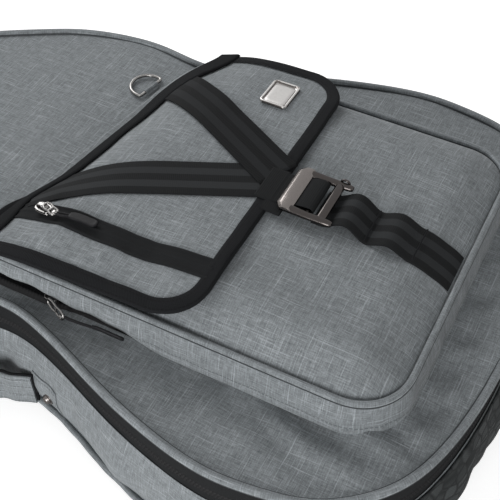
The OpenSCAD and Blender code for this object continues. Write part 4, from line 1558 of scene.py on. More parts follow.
def outwards(path, closed=True):
    if closed:
        along = np.roll(path, -1, 0) - np.roll(path, 1, 0)
    else:
        along = np.gradient(path, axis=0)
    along /= np.maximum(np.linalg.norm(along, axis=1), 1e-9)[:, None]
    return np.stack([along[:, 1], -along[:, 0], 0 * along[:, 0]], 1)


def pocket_gusset():
    path = pocket_loop(0.0, 0.004)
    out = outwards(path[:-1])
    out = np.vstack([out, out[:1]])
    ease_row(out, 4)
    out /= np.linalg.norm(out, axis=1)[:, None]
    run = run_of(path)
    z0, z1 = FRONT_Z - 0.0046, RIM_Z - 0.0052
    rows = 22

    def skin(u, v):
        i = nth(path, u)
        p, n, s = path[i], out[i], run[i]
        side = (p[:, 0] < -POCKET_X + 0.002) & (p[:, 1] > POCKET_Y + 0.05)
        mouth = side * smooth((p[:, 1] - MOUTH_Y - 0.050) / 0.045)
        fold = side * smooth((p[:, 1] - MOUTH_Y + 0.030) / 0.06)
        back = seam_v(p[:, 0], p[:, 1]) > POCKET_BACK - 0.003
        belly = 0.0035 * v ** 0.6 + 0.0030 * np.sin(math.pi * v) ** 0.8
        flare = 0.0085 * (1 - v) ** 2.4 * (1 - fold) * (1 - back)
        wave = 0.0010 * folds(s, 0.4 * v * 0.03, 0.045, 61) + 0.0010 * folds(s, 0 * s, 0.12, 62)
        corner = np.exp(-((p[:, 0] + POCKET_X - 0.012) / 0.02) ** 2
                        - ((p[:, 1] - POCKET_Y - 0.012) / 0.02) ** 2)
        gather = 0.0011 * corner * np.cos(s / 0.0016 + 3 * folds(s, 0 * s, 0.02, 63)) * (1 - v) ** 2
        o = belly * (1 - 0.6 * back) + flare + wave * np.sin(math.pi * v) + gather
        o = o + fold * (0.0045 * np.sin(math.pi * np.clip(v * 0.8 + 0.2, 0, 1)) - 0.002)
        q = p + n * o[:, None]
        base = z0 + 0.0095 * mouth + 0.002 * (fold - mouth).clip(0, 1)
        z = base + v * (z1 - base)
        z = np.minimum(z, under_flap(q[:, 0], q[:, 1]) - 0.002)
        return q[:, 0], q[:, 1], z, s, v * (z1 - z0)

    piece = lay_cloth("pocket_gusset_cloth", len(path) - 1, rows, skin, closed=True)
    finish_piece(piece, "lid", GREY_GUSSET, "grey_cloth", "pocket_gusset")


def rim_path(offset, z):
    path = pocket_loop(offset, 0.004, closed=False)
    path = even_path(path, 0.004, 3)
    path[:, 2] = np.minimum(z, under_flap(path[:, 0], path[:, 1]) + z - RIM_Z)
    return path


def pocket_piping():
    r = RIM_R
    piece = sweep("pocket_piping_tube", rim_path(r, RIM_Z - r), round_section(r, 14))
    finish_piece(piece, "lid", GREY, "grey_cloth", "pocket_piping")
    # Thin dark tubes inside and outside the pocket's piping: painted shadow lines in the grooves
    # beside it.
    inner = sweep("pocket_shadow_line_inner", rim_path(0.0003, RIM_Z - 0.0032), round_section(PIPING_SHADOW_R, 8))
    outer = sweep("pocket_shadow_line_outer", rim_path(0.0048, RIM_Z - 0.0046), round_section(0.0006, 8))
    shadow_lines = join("pocket_piping_shadow_lines", inner, outer)
    finish_piece(shadow_lines, "lid", PIPING_SHADOW, "black_cloth")


def pocket_zip():
    """The side pocket's zip: its tape along the base, its coil, and the dark lining behind."""
    lo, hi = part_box("pocket_zip")
    y0, y1 = lo.y, hi.y + 0.012
    shelf = [(0.0075, 0.0004), (0.0050, 0.0016), (0.0036, 0.0030), (0.0024, 0.0030),
             (0.0010, 0.0018), (-0.0040, 0.0020), (-0.0110, 0.0030), (-0.0150, 0.0060),
             (-0.0160, 0.0140)]

    def strip(u, v):
        y = y0 + u * (y1 - y0)
        j = nth(shelf, v)
        out, rise = np.array(shelf)[j].T
        gape = 0.25 + 0.75 * smooth((y - MOUTH_Y - 0.045) / 0.04)
        bite = 0.5 + 0.5 * np.cos(math.tau * y / TOOTH_PITCH)
        rise = rise - np.where((j == 2) | (j == 3), 0.0008 * (1 - bite), 0)
        out = np.where(out > 0, out * (0.35 + 0.65 * gape), out)
        return lo.x - out, y, FRONT_Z + rise, y, v * 0.02

    piece = lay_cloth("pocket_zip_chain", 400, len(shelf) - 1, strip)
    finish_piece(piece, "lid", NYLON, "zip_coil", "pocket_zip")


# ---- Closing strap ----
def lower_strap():
    tail = POCKET_Y - 0.055
    knots = [(0.174, 0.0), (0.165, 0.0)]
    for a, b, h in ((0.128, 0.165, 0.0105), (0.093, 0.128, 0.0075)):
        knots += [(b - (b - a) * i / 12, h * math.sin(math.pi * i / 12) ** 1.6)
                  for i in range(1, 12)]
        knots += [(a, -0.0004)]
    knots += [(d, 0.0) for d in np.linspace(0.088, 0.057, 9)]
    pts = []
    for d, h in knots:
        y = tail + d
        pts.append((0, y, float(pocket_height(np.array(0.0), np.array(y))) + 0.0007 + h))
    path = even_path(pts, 0.0018, 3)
    piece = sweep("lower_strap_web", path, band_section(STRAP_WIDE, 0.0018, 0.0002), side=(1, 0, 0))
    finish_piece(piece, "lid", WEBBING, "webbing", "lower_strap")
    bars = []
    for d in (0.129, 0.0895):
        y = tail + d
        z = float(pocket_height(np.array(0.0), np.array(y))) + 0.0026
        bars.append(sweep(f"bartack_{d}", even_path([(-0.0175, y, z), (0.0175, y, z)], 0.002),
                          round_section(0.0006, 8)))
    tack = join("lower_strap_bartacks", *bars)
    finish_piece(tack, "lid", RIBBON, "webbing")


# ---- Flap ----
def band_edge(u):
    """The top band's outer edge along the seam: it stands clear of the lid at the far end."""
    return 0.002 - 0.015 * smooth((u + 0.090) / 0.055) - 0.029 * smooth((u - 0.075) / 0.075)


def cloth_end(u):
    """The flap cloth's end along the seam, cut back at the far corner."""
    return -0.0022 + 0.006 * (1 - smooth((u + 0.12) / 0.04)) - 0.041 * smooth((u - 0.112) / 0.042)


def drape_fall(x, y):
    """How far the cloth has come down where it nears its sewn edge."""
    u, v = seam_u(x, y), seam_v(x, y)
    middle = smooth((u + 0.080) / 0.05) * (1 - smooth((u - 0.06) / 0.07))
    t = np.clip((v + DRAPE) / (DRAPE - 0.004 - 0.008 * middle), 0, 1)
    far = smooth((u - 0.05) / 0.11)
    soft = t ** (2.7 - 0.2 * far)
    return (FLAP_Z - FRONT_Z - 0.0006) * soft


def flap_height(x, y):
    """Height of the flap's underside: flat over the pocket, falling to its sides and seam."""
    hang = smooth((y - HEM_Y - 0.02) / 0.12)
    reach = np.where(x > 0, 0.0035 + 0.005 * hang, 0.0055 + 0.006 * hang)
    side = reach * smooth((np.abs(x) - 0.096) / 0.062)
    v = seam_v(x, y)
    wave = 0.0008 * folds(x, y, 0.07, 71) + 0.0008 * folds(x, y, 0.16, 72)
    loose = smooth((np.abs(x) - 0.03) / 0.06)
    near_pull = np.exp(-((x + 0.124) / 0.013) ** 2) + 0.5 * np.exp(-((x + 0.080) / 0.012) ** 2)
    crease = 1 - np.abs(np.sin((seam_v(x, y) + 0.7 * x) / 0.017))
    pulls = 0.0026 * near_pull * (crease ** 3 - 0.25)
    pulls = pulls * smooth((-0.035 - v) / 0.02) * smooth((v + 0.17) / 0.03)
    lift = np.maximum(wave * loose + 0.0006, 0.0) + pulls
    sag = 0.0050 * np.exp(-((x + 0.100) / 0.024) ** 2) * smooth((y - HEM_Y - 0.012) / 0.05)
    sag = sag * (1 - 0.5 * smooth((y + 0.250) / 0.06)) * (1 - smooth((v + 0.060) / 0.04))
    low_end = smooth((v + 0.05) / 0.05)
    fall = side + drape_fall(x, y) * (1 - 0.35 * side / 0.0115)
    return FLAP_Z - fall - sag + lift * (1 - low_end)


def flap_cloth():
    def sheet(u, v):
        x = (2 * u - 1) * FLAP_X
        y0 = lower_edge(x, FLAP_X, HEM_Y, FLAP_CORNER)
        y1 = seam_line_y(x, cloth_end(x))
        y = y0 + v * (y1 - y0)
        return x, y, flap_height(x, y) + FLAP_THICK, x, y

    piece = lay_cloth("flap_cloth", 120, 110, sheet, thick=FLAP_THICK)
    crease_blend(piece)
    finish_piece(piece, None, GREY, "grey_cloth", "flap_panel", "flap_root")


def over_flap(x, y, height=0.0):
    return flap_height(x, y) + FLAP_THICK + height


def crease_blend(piece):
    """Bakes a piece's placement into its mesh."""
    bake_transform(piece)


def flap_binding():
    """Ribbon folded over the flap's edge."""
    count = 300
    rails = []
    for inset in (0.0, BINDING_W):
        path = np.array(horseshoe(-inset, FLAP_X, HEM_Y, FLAP_CORNER, (-0.018, -0.044), 0.06))
        run = run_of(path)
        even = np.linspace(0, run[-1], count + 1)
        rails.append(np.stack([np.interp(even, run, path[:, i]) for i in (0, 1)], 1))
    outer, inner = rails
    run = run_of(np.c_[outer, np.zeros(len(outer))])
    # across the ribbon: share from the edge inwards, and height over the flap's top
    fold = [(1.0, 0.0010), (0.97, 0.0014), (0.5, 0.0015), (0.12, 0.0015), (-0.02, 0.0010),
            (-0.075, -0.0008), (-0.06, -0.0028), (0.1, -0.0036), (0.6, -0.0036)]

    def skin(u, v):
        i = np.rint(u * count).astype(int)
        j = nth(fold, v)
        share, rise = np.array(fold)[j].T
        p = outer[i] + (inner[i] - outer[i]) * share[:, None]
        x, y = p[:, 0], p[:, 1]
        clipped_x = np.clip(x, -FLAP_X, FLAP_X)
        z = over_flap(clipped_x, y) + rise
        z += 0.0004 * folds(run[i], 0 * run[i], 0.035, 77) * (share > 0.05)
        return x, y, z, run[i], (1 - share) * BINDING_W

    piece = lay_cloth("flap_binding_ribbon", count, len(fold) - 1, skin)
    crease_blend(piece)
    finish_piece(piece, None, RIBBON, "webbing", "flap_binding")


def top_band():
    """The wide ribbon across the flap's sewn edge."""

    def skin(u, v):
        x = (2 * u - 1) * (FLAP_X + 0.0008)
        wide = 0.031 + 0.008 * smooth((-x - 0.080) / 0.045) - 0.011 * smooth((x - 0.10) / 0.05)
        sv = band_edge(x) - wide * (1 - v) + 0.0008 * folds(x, 0 * x, 0.07, 79)
        y = seam_line_y(x, sv)
        edge = smooth(np.minimum(v, 1 - v) / 0.06)
        z = over_flap(np.clip(x, -FLAP_X, FLAP_X), y, 0.0008 + 0.0014 * edge)
        return x, y, z, x, v * wide

    piece = lay_cloth("top_band_ribbon", 150, 16, skin, thick=0.0014)
    crease_blend(piece)
    finish_piece(piece, None, TOP_RIBBON, "webbing", "top_band")


def flap_strap(name, foot, head, rise):
    """A webbing strap laid on the flap from its hem to its top band."""
    foot, head = np.array(foot), np.array(head)
    along = head - foot
    length = np.linalg.norm(along)
    along = along / length
    side = np.array([along[1], -along[0]])
    section = band_section(STRAP_WIDE, 0.0014, 0.0001)
    section = section + [section[0]]
    cols = int(length / 0.004)

    def skin(u, v):
        j = nth(section, v)
        a, b = np.array(section)[j].T
        x = foot[0] + along[0] * u * length + side[0] * a
        y = foot[1] + along[1] * u * length + side[1] * a
        z = over_flap(x, y, rise + b)
        return x, y, z, u * length, a

    piece = lay_solid(name, cols, len(section) - 1, skin)
    keep_cut(name, STRAP_WIDE, length)
    return piece


def v_straps():
    left = flap_strap("v_strap_near", (0.006, HEM_Y + 0.006), (-0.0787, HEM_Y + 0.190), 0.0002)
    right = flap_strap("v_strap_far", (0.012, HEM_Y + 0.006), (0.096, HEM_Y + 0.160), 0.0015)
    paint(left, WEBBING)
    # The far strap takes the darker copy of the webbing: painted shade.
    paint(right, SHADED_FAR_WEBBING)
    piece = join("v_straps_web", left, right)
    crease_blend(piece)
    finish_piece(piece, None, None, "webbing", "v_straps")


def strap_junction():
    """The piece that binds both straps at the hem, its edges raised; its crossed box of stitches is
    not drawn.
    """
    def skin(u, v):
        x = -0.018 + u * 0.037
        y = HEM_Y - 0.0022 + v * 0.0165
        edge = smooth(np.minimum(np.minimum(u, 1 - u), np.minimum(v, 1 - v)) / 0.05)
        z = over_flap(x, np.maximum(y, HEM_Y), 0.0022 + 0.0012 * edge)
        return x, y, z, y, x

    piece = lay_cloth("strap_junction_patch", 24, 24, skin, thick=0.0014)
    finish_piece(piece, "flap", PLAIN_WEBBING, "webbing", "strap_junction")


def badge():
    """A flat plate with a raised rim and a bare brushed face."""
    cx, cy, _ = centre_of("badge_plate")
    wide, tall, r = 0.034, 0.026, 0.004
    tilt = math.atan2(float(over_flap(np.array(cx + 0.01), np.array(cy))
                            - over_flap(np.array(cx - 0.01), np.array(cy))), 0.02)
    base = float(over_flap(np.array(cx), np.array(cy)))
    ring = []
    for sx, sy, a0 in ((1, 1, 0), (-1, 1, 90), (-1, -1, 180), (1, -1, 270)):
        for k in range(7):
            a = math.radians(a0 + 15 * k)
            ring.append((sx * (wide / 2 - r) + r * math.cos(a),
                         sy * (tall / 2 - r) + r * math.sin(a)))
    ring = np.array(ring + ring[:1])
    steps = [(0.0, 0.0002), (0.0, 0.0022), (0.0003, 0.0027), (0.0008, 0.0029), (0.0016, 0.0029),
             (0.0021, 0.0026), (0.0023, 0.0016), (0.0030, 0.0013), (0.0034, 0.0016),
             (0.0060, 0.0016), (0.0090, 0.0016), (0.0128, 0.0016)]

    def place(u, v):
        i = nth(ring, u)
        j = nth(steps, v)
        inset, h = np.array(steps)[j].T
        p = ring[i]
        px = np.sign(p[:, 0]) * np.maximum(np.abs(p[:, 0]) - inset, 0.0001)
        py = np.sign(p[:, 1]) * np.maximum(np.abs(p[:, 1]) - inset, 0.0001)
        x = cx + px * math.cos(tilt)
        y = cy + py
        z = base + h + px * math.sin(tilt)
        return x, y, z, px, py

    piece = lay_solid("badge_plate_bare", len(ring) - 1, len(steps) - 1, place)
    shade(piece, 40)
    paint(piece, BRUSHED, GUNMETAL)
    for face in piece.data.polygons:
        depth = min(wide / 2 - abs(face.center.x - cx) / math.cos(tilt),
                    tall / 2 - abs(face.center.y - cy))
        face.material_index = 1 if depth < 0.0003 or 0.0019 < depth < 0.0032 else 0
    finish_piece(piece, "flap", None, "brushed_plate", "badge_plate")


def flap_zip():
    """The short zip in the flap: two tapes and a covered coil ridge."""
    lo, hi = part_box("flap_zip")
    x0, x1 = lo.x, hi.x
    y0, y1 = HEM_Y + 0.6 * BINDING_W, hi.y + 0.004
    across = [(0.0, -0.0004), (0.02, 0.0014), (0.10, 0.0017), (0.14, 0.0008), (0.42, 0.0010),
              (0.46, 0.0019), (0.50, 0.0022), (0.54, 0.0019), (0.58, 0.0010), (0.86, 0.0008),
              (0.90, 0.0017), (0.98, 0.0014), (1.0, -0.0004)]
    cols = 170

    def skin(u, v):
        j = nth(across, v)
        share, rise = np.array(across)[j].T
        y = y0 + u * (y1 - y0)
        bow = 0.002 * np.sin(math.pi * u)
        x = x0 + share * (x1 - x0) - bow
        bite = 0.5 + 0.5 * np.cos(math.tau * y / 0.0028)
        rise = rise - np.where((j > 4) & (j < 8), 0.0004 * (1 - bite), 0)
        return x, y, over_flap(x, y, rise), y, share * (x1 - x0)

    piece = lay_cloth("flap_zip_chain", cols, len(across) - 1, skin)
    crease_blend(piece)
    finish_piece(piece, None, ZIP_TAPE, "zip_coil", "flap_zip")


# ---- Buckle, ring and pulls ----
def bevelled(v, near, far, low_z, high_z, cut, crown):
    """A cast bar's six-cornered section: places across it and up, at v round it."""
    j = np.rint(v * 6).astype(int) % 6
    edge, inwards = high_z - (high_z - low_z) * cut, (near - far) * crown
    across = np.choose(j, [near, far, far, far + inwards, near - inwards, near])
    return across, np.choose(j, [low_z, low_z, edge, high_z, high_z, edge])


def hook_buckle():
    """Cast hook buckle: wide bevelled bar, window, cross bar and two open legs."""
    lo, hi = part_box("hook_buckle")
    w, top_y = hi.x, hi.y + BUCKLE_SHIFT
    z0 = lo.z - 0.0004

    def soften(part, width):
        return modify(part, "BEVEL", width=width, segments=2, limit_method="ANGLE",
                      angle_limit=math.radians(22))

    def cast(name, rings):
        """A bar through stations (place along x, near y, far y, low z, high z)."""
        def place(u, v):
            x, *corners = np.array(rings)[nth(rings, u)].T
            ys, zs = bevelled(v, *corners, 0.42, 0.24)
            return x, ys, zs, x, ys
        return soften(lay_solid(name, len(rings) - 1, 6, place), 0.0006)

    def bar(name, y_near, y_far, low_z, high_z, half, chamfer):
        """A bar across the buckle, its neck side cut back at both ends."""
        stations = []
        for x in (-half, -half + chamfer, -half / 3, half / 3, half - chamfer, half):
            end = abs(x) > half - chamfer / 2
            stations.append((x, y_near, y_far - (chamfer * 0.8 if end else 0), low_z,
                             high_z - (0.0008 if end else 0)))
        return cast(name, stations)

    top = bar("bar", top_y - BAR_WIDE, top_y, z0 + 0.0006, z0 + 0.0060, w, 0.0052)
    cross = bar("cross", top_y - 0.0415, top_y - 0.0335, z0, z0 + 0.0040, w - 0.0045, 0.0)
    legs = []
    for side in (-1, 1):
        def leg_place(u, v, side=side):
            rows = [(0.004, 0.0, 0.0072, 0.0008, 0.0052), (0.014, 0.0, 0.0072, 0.0006, 0.0050),
                    (0.028, 0.0, 0.0068, 0.0002, 0.0044), (0.040, 0.0002, 0.0068, 0.0, 0.0042),
                    (0.0455, 0.0004, 0.0064, 0.0, 0.0040), (0.0482, 0.0012, 0.0054, 0.0002, 0.0034)]
            d, *corners = np.array(rows)[nth(rows, u)].T
            out, zs = bevelled(v, *corners, 0.40, 0.26)
            return side * (w - out), top_y - d, z0 + zs, out, d
        legs.append(soften(lay_solid(f"leg{side}", 5, 6, leg_place), 0.0007))
    inner = sweep("inner", even_path([(-w + 0.006, top_y - 0.026, z0 + 0.0022),
                                      (w - 0.006, top_y - 0.026, z0 + 0.0022)], 0.004),
                  round_section(0.0015, 12))
    lug = sweep("lug", [(w - 0.001, top_y - 0.040 - 0.0035 * math.cos(a),
                         z0 + 0.003 + 0.0028 * math.sin(a)) for a in np.linspace(0, math.pi, 9)],
                round_section(0.0011, 8), side=(1, 0, 0))
    paint(top, GUNMETAL)
    # The cross bar, legs, inner bar and lug take the darker copy of the gunmetal: painted shade and
    # painted darker reflections.
    for part in (cross, *legs, inner, lug):
        paint(part, SHADED_GUNMETAL)
    piece = join("hook_buckle_cast", top, cross, *legs, inner, lug)
    shade(piece, 30)
    finish_piece(piece, "buckle", None, "gunmetal", "hook_buckle")


def buckle_loop():
    """Webbing from the hem, round the buckle's inner bar and back under it."""
    lo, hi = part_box("buckle_loop")
    y_hem, y_bar = hi.y, lo.y + 0.0022 + BUCKLE_SHIFT
    z = lo.z + 0.0005
    r = 0.0026
    pts = [(0, y_hem + 0.010, z + 0.0004), (0, y_hem, z), (0, y_hem - 0.006, z + 0.0002),
           (0, y_bar + 0.004, z)]
    pts += [(0, y_bar - r * math.sin(a), z + r - r * math.cos(a))
            for a in np.linspace(0.2, math.pi - 0.2, 9)]
    pts += [(0, y_bar + 0.004, z + 2 * r - 0.0002), (0, y_bar + 0.009, z + 2 * r - 0.0010),
            (0, y_bar + 0.012, z + 2 * r - 0.0026)]
    path = even_path(pts, 0.0012, 2)
    piece = sweep("buckle_loop_web", path, band_section(0.034, 0.0013), side=(1, 0, 0))
    tail = sweep("buckle_loop_end", even_path([(-0.0195, y_hem + 0.006, z - 0.0006),
                                               (-0.0195, y_hem - 0.006, z - 0.0010),
                                               (-0.0190, y_hem - 0.011, z - 0.0016)], 0.0015, 2),
                 band_section(0.016, 0.0032, 0.0004), side=(1, 0, 0))
    piece = join("buckle_loop_web", piece, tail)
    finish_piece(piece, "buckle", PLAIN_WEBBING, "webbing", "buckle_loop")


def d_ring():
    """Round wire D-ring lying on the lid, with its tab."""
    joint = next(j for j in frame["joints"] if j["name"] == "d_ring_pivot")
    cx, cy, cz = joint["pos_m"]
    major, wire, leg = 0.0159, 0.0016, 0.005
    pts = [(-major, 0), (-major, leg * 0.6)]
    pts += [(-major * math.cos(a), leg + major * math.sin(a))
            for a in np.linspace(0, math.pi, 28)]
    pts += [(major, leg * 0.6), (major, 0)]
    pts += [(major * k, 0) for k in np.linspace(0.9, -0.9, 12)]
    cu, su = math.cos(SLANT), math.sin(SLANT)
    world = [(cx + a * cu + b * su, cy - a * su + b * cu, cz) for a, b in pts]
    path = ease_ring(even_path(world + [world[0]], 0.0016)[:-1], 2)
    ring = sweep("d_ring_wire", path, round_section(wire, 14), closed=True)
    finish_piece(ring, "d_ring", NICKEL, "bright_metal", "d_ring")
    w = 0.0085

    def skin(u, v):
        a = -w + 2 * w * u
        turn = math.radians(-160) + v * math.radians(320)
        r = wire + 0.0007
        b = r * np.sin(turn)
        z = cz + r * np.cos(turn)
        b = np.where(v < 0.12, -0.004, b)
        b = np.where(v > 0.88, -0.004, b)
        z = np.where((v < 0.12) | (v > 0.88), FRONT_Z + 0.0004, z)
        return (cx + a * cu + b * su, cy - a * su + b * cu, np.maximum(z, FRONT_Z + 0.0002), a, b)

    tab = lay_cloth("dring_tab_cloth", 10, 20, skin, thick=0.0005)
    finish_piece(tab, "lid", GREY, "grey_cloth", "dring_tab")


def slider(name, node, body, up, along, shift=(0, 0, 0)):
    """A zip slider: a waisted body, a bridge over it and flanges, from its CAD box."""
    lo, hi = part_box(node)
    c = np.array((lo + hi) / 2) + np.array(shift)
    up, along = np.array(up, float), np.array(along, float)
    side = np.cross(along, up)
    extent = np.array(hi - lo)
    tall = abs(extent @ up)
    base = c - up * tall / 2
    plan = [(-0.0070, 0.0034), (-0.0055, 0.0046), (-0.0010, 0.0050), (0.0035, 0.0046),
            (0.0062, 0.0036), (0.0070, 0.0020)]
    outline = plan + [(a, -b) for a, b in reversed(plan)]
    parts = []

    def plate(z0, z1, shrink, label):
        def place(u, v):
            ring = np.array(outline + [outline[0]])
            i = nth(ring, u)
            j = np.rint(v * 5).astype(int)
            share = np.array([0.0, 0.96, 1.0, 1.0, 0.96, 0.0])[j] * shrink
            h = np.array([z0, z0, z0 + 0.0003, z1 - 0.0003, z1, z1])[j]
            p = base + np.outer(ring[i, 0] * share, along) + np.outer(
                ring[i, 1] * share, side) + np.outer(h, up)
            return *p.T, p[:, 0], p[:, 1]
        made = lay_cloth(label, len(outline), 5, place, closed=True)
        face_out_all(made)
        return made

    parts.append(plate(0.0, 0.0012, 1.0, name + "_base"))
    parts.append(plate(0.0019, 0.0032, 1.0, name + "_top"))
    bridge = [base + along * a + up * h for a, h in (
        (-0.0052, 0.0030), (-0.0050, 0.0050), (-0.0030, tall - 0.0008), (0.0, tall - 0.0006),
        (0.0030, tall - 0.0008), (0.0050, 0.0050), (0.0052, 0.0030))]
    parts.append(sweep(name + "_bridge", even_path(bridge, 0.001, 2),
                       band_section(0.0034, 0.0009), side=side))
    parts.append(block(name + "_neck", base + along * 0.004 + up * 0.0016,
                       (0.0022, 0.0022, 0.0022), 0.0004))
    piece = join(name, *parts)
    shade(piece, 40)
    finish_piece(piece, body, NICKEL, "bright_metal", node)


def tab_shape(t):
    """The shares of a tab's width that its round end and its neck leave, t along it."""
    end = np.sqrt(np.clip(1 - ((t - 0.86) / 0.14).clip(0, 1) ** 2, 0.05, 1))
    return end, smooth(t / 0.16)


def pull_chain(name, body, nodes, places, flats, curl=0.0):
    """A zip's pull: a forked metal link, a doubled cord and a moulded rubber tab.

    places are the link's two ends and the tab's two ends. flats are the widths' directions.
    """
    a, b, c, d = (np.array(p, float) for p in places)
    link_flat, tab_flat = (np.array(f, float) / np.linalg.norm(f) for f in flats)
    half, wire = 0.0036, 0.00105
    along = b - a
    rim = [(0.04, 0), (0.08, 0.62), (0.30, 1.0), (0.55, 0.72), (0.78, 1.0), (0.94, 0.75), (1.0, 0)]
    loop = [a + along * t + link_flat * half * k for t, k in rim]
    loop += [a + along * t - link_flat * half * k for t, k in reversed(rim[1:-1])]
    path = ease_ring(even_path(loop + [loop[0]], 0.0009)[:-1], 2)
    level = np.cross(along, link_flat)
    level /= np.linalg.norm(level)
    ring = sweep(name + "_loop", path, round_section(wire, 10), up=level, closed=True)
    mid = a + along * 0.55
    bar = sweep(name + "_bar", [mid - link_flat * half * 0.7, mid + link_flat * half * 0.7],
                round_section(wire, 10), up=level)
    lobe = block(name + "_fork", a + along * 0.86, (0.0044, 0.0036, 0.0022), 0.0008)
    link = join(name + "_link", ring, bar, lobe)
    finish_piece(link, body, NICKEL, "bright_metal", nodes[0])
    strands = []
    for k in (-1, 1):
        pts = [b - along * 0.10 + link_flat * 0.0006 * k, (b + c) / 2 + tab_flat * 0.0016 * k,
               c + (d - c) * 0.12 + tab_flat * 0.0007 * k]
        strands.append(sweep(f"{name}_strand{k}", even_path(pts, 0.0015, 3),
                             round_section(0.00095, 8)))
    finish_piece(join(name + "_cord", *strands), body, CORD, "tab_rubber")
    n = 18
    run = d - c
    pts = np.array([c + run * (k / n) + tab_flat * curl * math.sin(k / n * math.pi * 1.7)
                    for k in range(n + 1)])
    tab = sweep(name + "_rubber", pts, [(p, q - 0.0015) for p, q in band_section(0.0080, 0.0030)],
                side=tab_flat)
    co = coords(tab)
    t = np.clip(((co - c) @ run) / (run @ run), 0, 1)
    core = np.stack([np.interp(t, np.linspace(0, 1, n + 1), pts[:, i]) for i in range(3)], 1)
    end, neck = tab_shape(t)
    off = co - core
    across = (off @ tab_flat)[:, None] * tab_flat
    rim_line = np.where(np.abs(off @ tab_flat) > 0.0026, 1.0, 0.78 + 0.22 * (t > 0.93))
    co = core + across * (end * (0.70 + 0.30 * neck))[:, None]
    co = co + (off - across) * (rim_line * (0.7 + 0.3 * end))[:, None]
    reshape(tab, co)
    modify(tab, "SUBSURF", levels=1, render_levels=1)
    finish_piece(tab, body, RUBBER, "tab_rubber", nodes[1])


def flap_pull():
    """The flap's slider and its pull, lying on the draped cloth."""
    x, y, _ = centre_of("flap_slider")

    def on_flap(dx, dy, lift):
        return x + dx, y + dy, float(over_flap(np.array(x + dx), np.array(y + dy))) + lift

    base = on_flap(0, 0, 0.0026)[2]
    slider("flap_slider_body", "flap_slider", "flap_slider", (0, 0, 1), (0, 1, 0),
           shift=(0, 0, base - low("flap_slider").z))
    pull_chain("flap_pull", "flap_pull", ("flap_puller", "flap_pull_tab"),
               (on_flap(0.001, -0.001, 0.0095), on_flap(-0.004, -0.0155, 0.0046),
                on_flap(-0.002, -0.0270, 0.0042), on_flap(0.001, -0.0520, 0.0040)),
               ((1, -0.35, 0), (1, 0.05, 0)), curl=0.0006)


def pocket_pull():
    """The side pocket's slider and its pull, hanging out over the lid."""
    x, y, z = low("pocket_slider").x, centre_of("pocket_slider")[1], FRONT_Z
    slider("pocket_slider_body", "pocket_slider", "pocket_slider", (-1, 0, 0), (0, 1, 0))
    pull_chain("pocket_pull", "pocket_pull", ("pocket_puller", "pocket_pull_tab"),
               ((x - 0.0005, y + 0.001, z + 0.0085), (x - 0.0085, y - 0.0195, z + 0.0052),
                (x - 0.0060, y - 0.044, z + 0.0062), (x - 0.0040, y - 0.0715, z + 0.0052)),
               ((0.35, 0, 1), (-0.35, 0, 0.94)), curl=0.0020)


def main_pull(which):
    """A main zip slider with its link, cord and tab hanging down the wall."""
    node = "main_slider_" + which
    slider(node + "_body", node, node, (-1, 0, 0), (0, 1, 0))
    pull = "main_puller_" + which
    x, y, _ = centre_of(pull)
    top, bottom = high(pull).z, low(pull).z
    half = 0.0034
    rim = [(0, top - 0.001), (0.62, top - 0.002), (1.0, top - 0.005), (0.85, top - 0.009),
           (1.0, top - 0.013), (0.7, top - 0.0155), (0, top - 0.0158), (-0.7, top - 0.0155),
           (-1.0, top - 0.013), (-0.85, top - 0.009), (-1.0, top - 0.005), (-0.62, top - 0.002)]
    loop = [(x, y + half * a, z) for a, z in rim]
    path = even_path(loop + [loop[0]], 0.0011)[:-1]
    ring = sweep(pull + "_loop", path, round_section(0.00095, 10), up=(1, 0, 0), closed=True)
    finish_piece(ring, "main_pull_" + which, NICKEL, "bright_metal")
    cords = sweep(pull + "_cord", even_path([(x, y, top - 0.0150), (x, y, top - 0.0215)], 0.001),
                  round_section(0.0011, 8), up=(1, 0, 0))
    finish_piece(cords, "main_pull_" + which, CORD, "tab_rubber")
    pts = even_path([(x, y, top - 0.0205), (x, y, bottom + 0.0002)], 0.0018)
    tab = sweep(pull + "_tab", pts, [(a, b - 0.0014) for a, b in band_section(0.0078, 0.0028)],
                side=(0, 1, 0))
    co = coords(tab)
    t = np.clip((pts[0, 2] - co[:, 2]) / (pts[0, 2] - pts[-1, 2]), 0, 1)
    end, neck = tab_shape(t)
    co[:, 1] = y + (co[:, 1] - y) * end * (0.72 + 0.28 * neck)
    reshape(tab, co)
    modify(tab, "SUBSURF", levels=1, render_levels=1)
    finish_piece(tab, "main_pull_" + which, RUBBER, "tab_rubber", pull)


# ---- Studio ----
CAMERA_AT = (-0.50598, -0.57910, 0.75369)
AZIMUTH, ELEVATION = math.radians(-62.76), math.radians(48.95)
LENS, SENSOR = 70.62, 36.0
LAMPS_AIM = Vector((0, -0.15, 0.1))


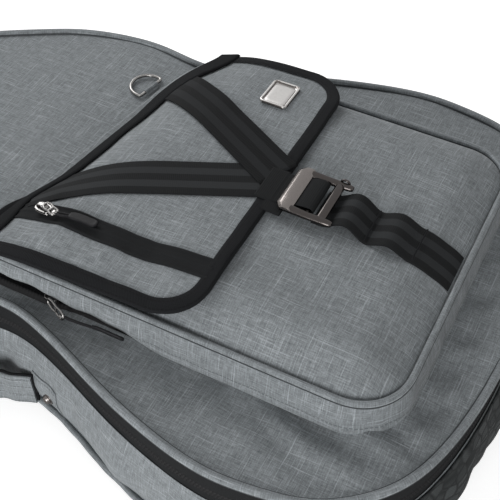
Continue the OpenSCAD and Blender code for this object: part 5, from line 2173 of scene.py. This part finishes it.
def studio():
    """A white floor and backdrop, soft light from the near left, and the camera."""
    deselect()
    bpy.ops.mesh.primitive_grid_add(x_subdivisions=4, y_subdivisions=4, size=14,
                                    location=(0, 0, -0.0006))
    floor = bpy.context.object
    floor.name = "floor"
    m = bpy.data.materials.new("studio floor")
    m.use_nodes = True
    seen = add(m.node_tree, "LightPath").outputs["Is Camera Ray"]
    plug(m.node_tree.nodes["Principled BSDF"], {
        "Base Color": (0.8, 0.8, 0.8, 1), "Roughness": 0.9, "Specular IOR Level": 0.0,
        "Emission Color": (1, 1, 1, 1), "Emission Strength": times(seen, 0.62)})
    paint(floor, m)
    world = bpy.data.worlds.new("studio")
    bpy.context.scene.world = world
    world.use_nodes = True
    rays = add(world.node_tree, "LightPath").outputs
    seen = calc("MAXIMUM", rays["Is Camera Ray"], rays["Is Glossy Ray"])
    seen = calc("MAXIMUM", seen, rays["Is Transmission Ray"])
    plug(world.node_tree.nodes["Background"], {
        "Color": (1, 1, 1, 1), "Strength": spread(seen, 0, 1, 0.34, 1.0)})
    for name, where, size, power in (("back", (1.6, 2.6, 2.4), 2.4, 104),
                                     ("side", (-2.3, -0.6, 0.75), 1.1, 44)):
        bpy.ops.object.light_add(type="AREA", location=where)
        lamp = bpy.context.object
        lamp.name = name
        lamp.data.size = size
        lamp.data.energy = power
        aim = LAMPS_AIM - Vector(where)
        lamp.rotation_euler = aim.to_track_quat("-Z", "Y").to_euler()
    bpy.ops.object.camera_add(location=CAMERA_AT)
    cam = bpy.context.object
    cam.data.sensor_width, cam.data.lens = SENSOR, LENS
    cam.data.clip_start = 0.01
    back_dir = Vector((math.sin(AZIMUTH) * math.cos(ELEVATION),
                       -math.cos(AZIMUTH) * math.cos(ELEVATION), math.sin(ELEVATION)))
    cam.rotation_euler = (-back_dir).to_track_quat("-Z", "Y").to_euler()
    bpy.context.scene.camera = cam
    bpy.context.scene.view_settings.view_transform = "Standard"


def build():
    for make in (studio, side_wall, back_panel, back_lining, back_piping, lower_zip_tape,
                 zip_coils, fabric_hinge, boots, skid_strips, handle_patches, handle_rivets,
                 side_handle, inner_foam, cradle_strap, back_pads, strap_yoke, shoulder_pads,
                 strap_webbings, strap_anchors, hanging_loop, front_panel, front_piping,
                 upper_zip_band, pocket_face, pocket_gusset, pocket_piping, pocket_zip,
                 lower_strap, flap_cloth, flap_binding, top_band, v_straps, strap_junction,
                 badge, flap_zip, hook_buckle, buckle_loop, d_ring, flap_pull, pocket_pull):
        make()
    main_pull("low")
    main_pull("high")


build()
deselect()
bpy.context.view_layer.update()
